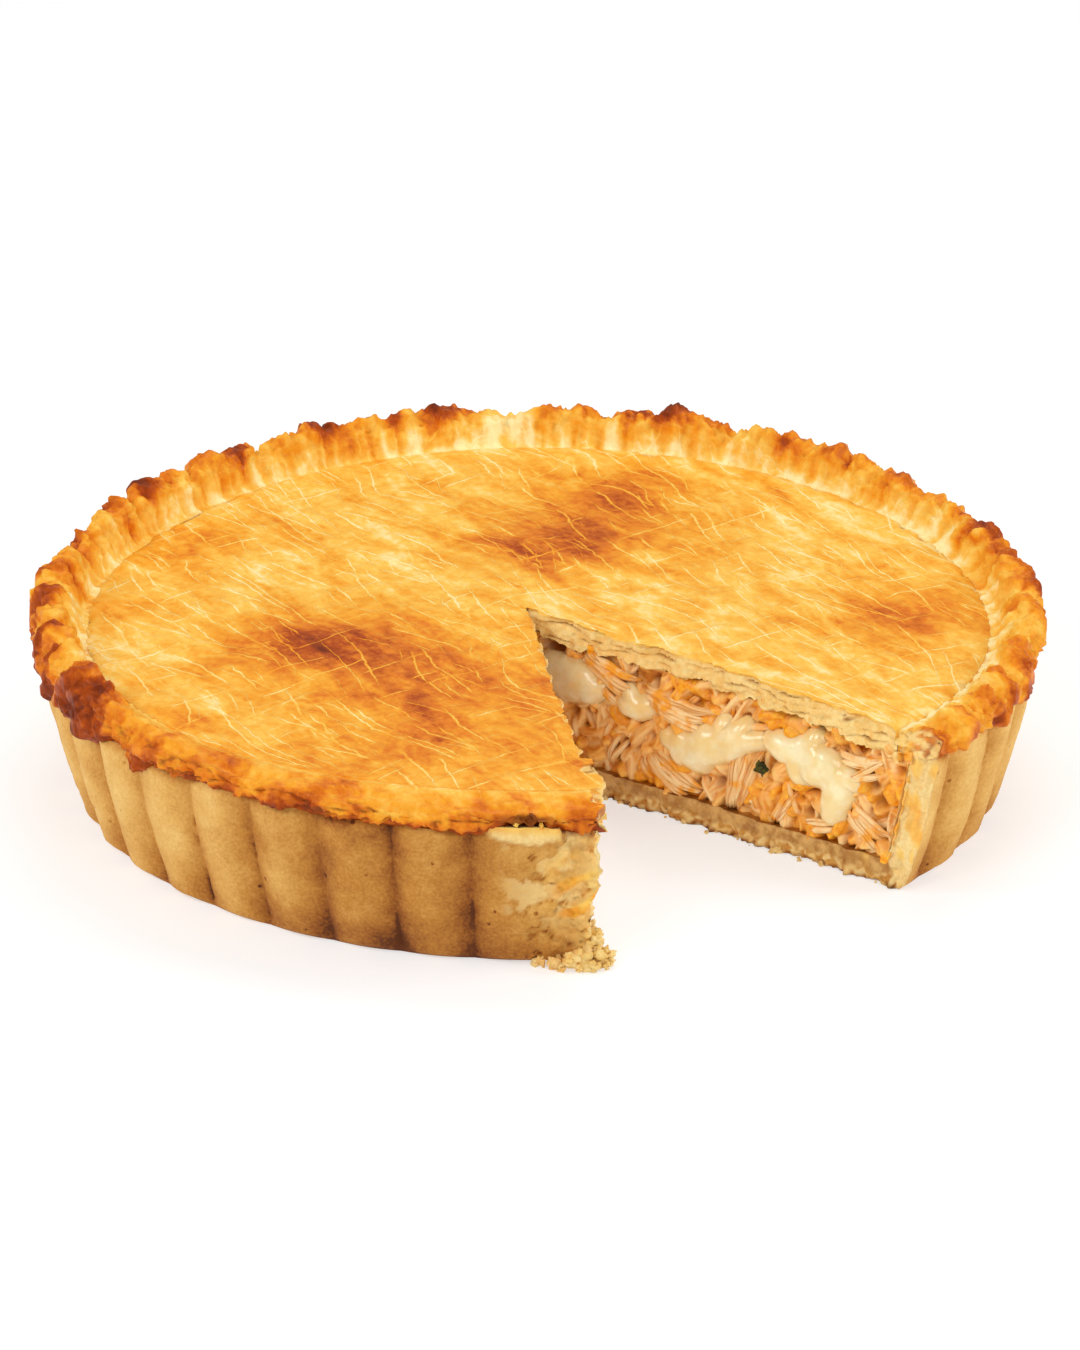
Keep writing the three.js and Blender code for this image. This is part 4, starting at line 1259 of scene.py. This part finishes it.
def shreds_piece():
    piece = Piece("chicken_shreds")
    draw = np.random.default_rng(71)
    for along, height, length, slope, strands, spacing, width in BUNDLES:
        slope = math.radians(slope)
        for strand in range(strands):
            aside = (strand - (strands - 1) / 2) * spacing
            size = {"steps": 34, "sides": 30, "width": width * draw.uniform(0.85, 1.2),
                    "length": length * draw.uniform(0.85, 1.1)}
            place = {"along": along - math.sin(slope) * aside, "height": height + math.cos(slope) * aside,
                     "tint": draw.uniform(0.3, 0.9),
                     "turn": slope + math.radians(2.5 * aside + draw.normal(0, 3)),
                     "reach": draw.uniform(-0.9, -0.1)}
            shred(piece, CUTS["right"], draw, size, place)
    for cut in CUTS.values():
        for _ in range(LOOSE_SHREDS):
            size = {"steps": 20, "sides": 16, "width": draw.uniform(0.5, 1.1), "length": draw.uniform(6, 13)}
            place = {"along": draw.uniform(6, 105), "height": draw.uniform(8, 35),
                     "tint": draw.uniform(0, 0.8), "turn": math.radians(draw.uniform(15, 165)),
                     "reach": draw.uniform(-3.2, -1.4)}
            shred(piece, cut, draw, size, place)
    return piece.finish("chicken_filling", fibres)


shreds_piece()

# %% [markdown]
# ## Melted cheese
# Soft cheese runs into smooth pools that settle on the shreds, with a rounded edge and a drip at the low end.
# Each pool starts as a chain of round spots on the cut face. Its outline is their joined shape, made uneven;
# it is domed from the edge inwards and laid on the softened web. Light goes into cheese and comes out again,
# so its material scatters below the surface, under a wet gloss.

# %% Cheese material and meshes
def cheese_material():
    material, tree, shader = new_material("melted_cheese", Subsurface_Weight=0.35, Subsurface_Scale=0.003,
                                          Subsurface_Radius=(1.0, 0.8, 0.5), Coat_Weight=0.4,
                                          Coat_Roughness=0.1)
    cloudy = grain(tree, place_mm(tree), 6, 3)
    colour = blend(tree, between(tree, cloudy, 0.35, 0.65), srgb(246, 220, 156), srgb(254, 240, 196))
    thin = work(tree, "MULTIPLY", mask(tree, "thin"), 0.5)
    wire(tree, shader, Base_Color=blend(tree, thin, colour, srgb(244, 196, 112)),
         Roughness=between(tree, cloudy, 0.3, 0.7, 0.16, 0.3),
         Normal=bump(tree, grain(tree, place_mm(tree), 2.6, 2), 0.25, 0.4))
    return material


cheese = cheese_material()
CHEESE_STEP = 0.3
CHEESE_EDGE = 3.8
CHEESE_THICKNESS = 2.2
CHEESE_MARGINS = (7, 6)
FAR = 1e3
# The cut that each pool lies on, and its chains of spots: distance along the cut, height and radius
CHEESES = {
    "cheese_top": ("right", [[(6, 29.5, 2.0), (12, 28, 3.8), (18, 28.6, 3.2), (22, 28.2, 1.2)]]),
    "cheese_dab": ("right", [
        [(31, 26, 0.5), (34.5, 26.2, 1.3), (38, 27, 0.6)], [(34, 26.4, 0.7), (31.5, 29.5, 0.2)]]),
    "cheese_strand": ("right", [
        [(44, 20.6, 1.0), (48.5, 19.4, 2.6), (52, 18.2, 2.6), (57, 21.6, 3.0), (63, 24.4, 2.5),
         (68, 26, 1.2), (72, 26.8, 0.4)],
        [(58, 23, 1.6), (61, 28.6, 0.5)], [(63, 25, 1.4), (67.5, 29.6, 0.3)]]),
    "cheese_drip": ("right", [
        [(75, 27.8, 0.5), (80, 27.2, 2.0), (86, 26.8, 3.4), (92, 25, 3.8), (95.5, 20.6, 3.3),
         (95, 16.2, 2.1), (94.6, 14.0, 1.6)],
        [(86, 28, 2.0), (88.5, 32, 0.6)], [(82, 26, 1.6), (84.5, 21.4, 0.7)],
        [(94, 24, 2.0), (101, 23.6, 0.5)]]),
    "cheese_left_pool": ("left", [
        [(28, 23.4, 2.4), (34, 25, 3.6), (42, 27.2, 1.6)], [(35, 25, 1.6), (38, 30, 0.4)]]),
    "cheese_left_drip": ("left", [
        [(69, 26.8, 1.6), (74, 23, 3.4), (77.5, 18.6, 3.0), (78, 14.6, 1.8)],
        [(74, 24, 1.6), (80, 26, 0.5)]]),
}


def outside_chains(chains, along, height):
    """Distance from the outline of chains of round spots, negative inside, and the spots' size near by."""
    nearest = np.full(along.shape, FAR)
    size = np.zeros(along.shape)
    for chain in chains:
        for first, second in itertools.pairwise(np.array(chain, float)):
            step = second - first
            share = (along - first[0]) * step[0] + (height - first[1]) * step[1]
            share = np.clip(share / (step[0] ** 2 + step[1] ** 2), 0, 1)
            radius = first[2] + share * step[2]
            gap = np.hypot(along - first[0] - share * step[0], height - first[1] - share * step[1]) - radius
            size = np.where(gap < nearest, radius, size)
            nearest = np.minimum(nearest, gap)
    return nearest, size


def nearest_step(values, line):
    """Numbers of the web's grid lines next to some values."""
    return np.clip(np.rint((values - line[0]) / FACE_STEP).astype(int), 0, len(line) - 1)


def cheese_piece(node, side, chains):
    cut, web = CUTS[side], webs[side]
    spread = np.concatenate(chains)
    axes = []
    for axis, margin in enumerate(CHEESE_MARGINS):
        axes.append(np.arange(spread[:, axis].min() - margin, spread[:, axis].max() + margin, CHEESE_STEP))
    along, height = np.meshgrid(*axes, indexing="ij")
    gap, size = outside_chains(chains, along, height)
    uneven = 1.3 * cut_noise(cut, 80, along, height, 5) + 0.6 * cut_noise(cut, 81, along, height, 2)
    size = soften(size, 80)
    gap = soften(gap + uneven * np.clip(size / 2, 0.2, 1), 8)
    inside = np.clip(-gap / CHEESE_EDGE, 0, 1)
    dome = np.sqrt(1 - (1 - inside) ** 2)
    bed = soften(web["reach"], 130)[nearest_step(along, web["along"]), nearest_step(height, web["height"])]
    bed = 0.75 * bed - 0.4 + 0.5 * cut_noise(cut, 82, along, height, 9)
    reach = soften(bed + (0.12 * size + 0.7) * dome - 2.2 * smooth(0, 1.0, gap), 12)
    piece = Piece(node + "_melt")
    spots = on_cut(cut, np.maximum(along, 1.2), height, reach)
    piece.grid(spots, flip=side == "left", thin=smooth(-1.8, 0.4, gap))
    kept = (gap < 1.0).ravel()
    piece.faces = [face for face in piece.faces if kept[face].all()]
    melt = piece.finish(node, cheese)
    body = melt.modifiers.new("body", "SOLIDIFY")
    body.thickness = CHEESE_THICKNESS * MM
    body.offset = -1
    skin = bpy.data.meshes.new_from_object(melt.evaluated_get(bpy.context.evaluated_depsgraph_get()))
    melt.modifiers.clear()
    melt.data = skin
    return melt


for node, (side, chains) in CHEESES.items():
    cheese_piece(node, side, chains)

# %% [markdown]
# ## A flake of herb
# One bit of parsley shows in the filling. It is a thin crumpled leaf, dark green, pressed to the shreds.
# Two lobed discs, a little apart, make its faces.

# %% Herb mesh
HERB = {"along": 73.5, "height": 20.8, "size": 1.75, "stands": 0.5, "half_thickness": 0.12}


def herb_material():
    material, tree, shader = new_material("parsley", Roughness=0.55, Specular_IOR_Level=0.2)
    veins = grain(tree, place_mm(tree), 1.0, 3)
    colour = blend(tree, between(tree, veins, 0.35, 0.65), srgb(34, 34, 8), srgb(88, 82, 22))
    wire(tree, shader, Base_Color=colour, Normal=bump(tree, veins, 0.5, 0.2))
    return material


def herb_piece():
    piece = Piece("herb_flake")
    turn = np.linspace(0, 2 * math.pi, 33)[None, :]
    out = np.linspace(0.05, 1, 9)[:, None]
    lobes = HERB["size"] * (1 + 0.16 * np.cos(5 * turn + 0.6) + 0.1 * np.cos(9 * turn))
    along = HERB["along"] + out * lobes * np.cos(turn)
    height = HERB["height"] + 1.1 * out * lobes * np.sin(turn)
    curl = HERB["stands"] + 0.5 * np.sin(3 * turn + 4 * out) * out + 0.9 * (1 - out)
    for side in (1, -1):
        spots = on_cut(CUTS["right"], along, height, curl + HERB["half_thickness"] * side)
        piece.grid(spots, flip=side < 0)
    return piece.finish("chicken_filling", herb_material())


herb_piece()

# %% [markdown]
# ## Crumbs
# Cutting short pastry sheds crumbs. They lie at the foot of both cuts, and a small heap has fallen from the
# torn corner on the left. Two saucy beads of pastry sit in the void under the front lip. Each is a small lump
# of uneven shape; all are one mesh.

# %% Crumb mesh
# Cut, start and end along it, number of crumbs, how far they spread and their largest size
SPILLS = [("left", 98, 117, 60, 2.6, 1.7), ("right", 20, 112, 16, 1.6, 0.9), ("left", 20, 96, 16, 1.4, 0.8)]
# x, y, height and size of each clump in the heap
TORN_CRUMBS = [
    (0, -116, 1.0, 1.5), (4, -116.8, 1.4, 2.1), (8, -117.6, 1.6, 2.4), (11.5, -117, 2.2, 3.0),
    (14.8, -117, 1.9, 2.4), (16.8, -114.5, 1.4, 1.8), (9.5, -119.6, 1.1, 1.5), (13.2, -119.8, 1.3, 1.7),
    (5.6, -119, 0.8, 1.2), (12.8, -115, 4.6, 2.3), (13.6, -113.5, 7.0, 1.6), (16.2, -118.2, 1.0, 1.3),
]
TORN_BITS = 6
# Angle in degrees and height of each bead in the void
VOID_BEADS = [(-92.3, 39.6), (-89.6, 39.4)]
BEAD_RADIUS = 123.2
BEAD_SIZE = 0.7
FLOOR_GAP = 0.02


def lump(piece, draw, centre, size, **masks):
    turn = np.linspace(0, 2 * math.pi, 19)[None, :]
    tilt = np.linspace(0.03, math.pi - 0.03, 12)[:, None]
    ball = (np.sin(tilt) * np.cos(turn), np.sin(tilt) * np.sin(turn), np.cos(tilt))
    spots = np.stack(np.broadcast_arrays(*ball), axis=-1)
    shape = 1 + 0.8 * crags(spots, 0.8, 3, int(draw.integers(1, 9999)))
    stretch = size * draw.uniform(0.7, 1.25, 3)
    spots = spots * shape[..., None] * stretch + centre
    spots[..., 2] = np.maximum(spots[..., 2], FLOOR_GAP)
    piece.grid(spots, **masks)


def crumbs_piece():
    piece = Piece("pastry_crumbs")
    draw = np.random.default_rng(83)
    for side, start, end, count, spread, size in SPILLS:
        for _ in range(count):
            bit = size * draw.uniform(0.35, 1.0) ** 1.5
            along = draw.uniform(start, end)
            height = bit * draw.uniform(0.4, 1.0)
            spot = on_cut(CUTS[side], along, height, abs(draw.normal(0, 0.6)) * spread)
            lump(piece, draw, spot, bit, crumb=draw.uniform(0.5, 1), toast=draw.uniform(0.2, 0.7))
    for x, y, height, size in TORN_CRUMBS:
        for _ in range(TORN_BITS):
            bit = size * draw.uniform(0.3, 0.7)
            spot = np.array([x, y, height]) + draw.normal(0, 0.4 * size, 3)
            spot[2] = max(spot[2], 0.6 * bit)
            lump(piece, draw, spot, bit, crumb=draw.uniform(0.75, 1.0), smear=draw.uniform(0, 0.5))
    for angle, height in VOID_BEADS:
        turn = math.radians(angle)
        spot = np.array([BEAD_RADIUS * math.cos(turn), BEAD_RADIUS * math.sin(turn), height])
        lump(piece, draw, spot, BEAD_SIZE, crumb=0.6, smear=1.0)
    return piece.finish("pastry_case", shortcrust)


crumbs_piece()

# %% [markdown]
# ## Studio
# The pie stands on a white sweep under large soft lights: a broad one above and behind for the gloss of the
# lid, one from each side for the walls, two from the front for the cut faces, and a bright, even
# surround. The camera looks down a little, through a long lens, so near and far parts keep almost one scale.

# %% Floor, lights and camera
PIE_MIDDLE = (0, 0, 0.03)
FLOOR = {"size": 8, "drop": -0.0002, "grey": 0.5, "glow": 0.55}
ROOM_LIGHT = 0.38
# Place, aim, size and power of each light
LIGHTS = {
    "top_back": ((0.1, 0.5, 1.0), PIE_MIDDLE, 0.8, 4.2),
    "front_left": ((-0.5, -0.85, 0.8), PIE_MIDDLE, 0.5, 3.4),
    "front_right": ((0.42, -0.9, 0.5), PIE_MIDDLE, 0.5, 1.7),
    "left": ((-0.95, -0.2, 0.6), PIE_MIDDLE, 0.5, 3.4),
    "right": ((0.95, -0.1, 0.5), (0.05, 0, 0.03), 0.5, 3.4),
}
CAMERA_RISE = math.radians(22.5)
CAMERA_AWAY = 2.0
CAMERA_AIM = (0.0005, 0.0, 0.0264)
FOCAL_PIXELS = 8040
PHOTO_HEIGHT = 1350


def aim_at(thing, aim):
    away = np.array(aim) - np.array(thing.location)
    turn = math.atan2(away[1], away[0]) - math.pi / 2
    thing.rotation_euler = (math.pi / 2 + math.atan2(away[2], math.hypot(away[0], away[1])), 0, turn)


def white_floor():
    bpy.ops.mesh.primitive_plane_add(size=FLOOR["size"], location=(0, 0, FLOOR["drop"]))
    floor = bpy.context.object
    floor.name = "white_sweep"
    grey = FLOOR["grey"]
    material, _, _ = new_material("matt_white", Roughness=0.9, Base_Color=(grey, grey, grey, 1),
                                  Emission_Color=(1, 1, 1, 1), Emission_Strength=FLOOR["glow"])
    floor.data.materials.append(material)


def soft_light(name, place, aim, size, power):
    lamp = bpy.data.lights.new(name, "AREA")
    lamp.shape = "DISK"
    lamp.size = size
    lamp.energy = power
    light = bpy.data.objects.new(name, lamp)
    light.location = place
    bpy.context.scene.collection.objects.link(light)
    aim_at(light, aim)


white_floor()
for name, (place, aim, size, power) in LIGHTS.items():
    soft_light(name, place, aim, size, power)
world = bpy.data.worlds.new("bright_room")
world.use_nodes = True
room = world.node_tree.nodes["Background"]
room.inputs["Color"].default_value = (1, 1, 1, 1)
room.inputs["Strength"].default_value = ROOM_LIGHT
bpy.context.scene.world = world
bpy.context.scene.view_settings.view_transform = "Standard"

camera_data = bpy.data.cameras.new("camera")
camera_data.sensor_fit = "VERTICAL"
camera_data.sensor_height = 36
camera_data.lens = FOCAL_PIXELS * camera_data.sensor_height / PHOTO_HEIGHT
camera = bpy.data.objects.new("camera", camera_data)
camera.location = (CAMERA_AIM[0], -CAMERA_AWAY * math.cos(CAMERA_RISE),
                   CAMERA_AIM[2] + CAMERA_AWAY * math.sin(CAMERA_RISE))
bpy.context.scene.collection.objects.link(camera)
aim_at(camera, CAMERA_AIM)
bpy.context.scene.camera = camera
print("lens in mm:", round(camera_data.lens, 1))
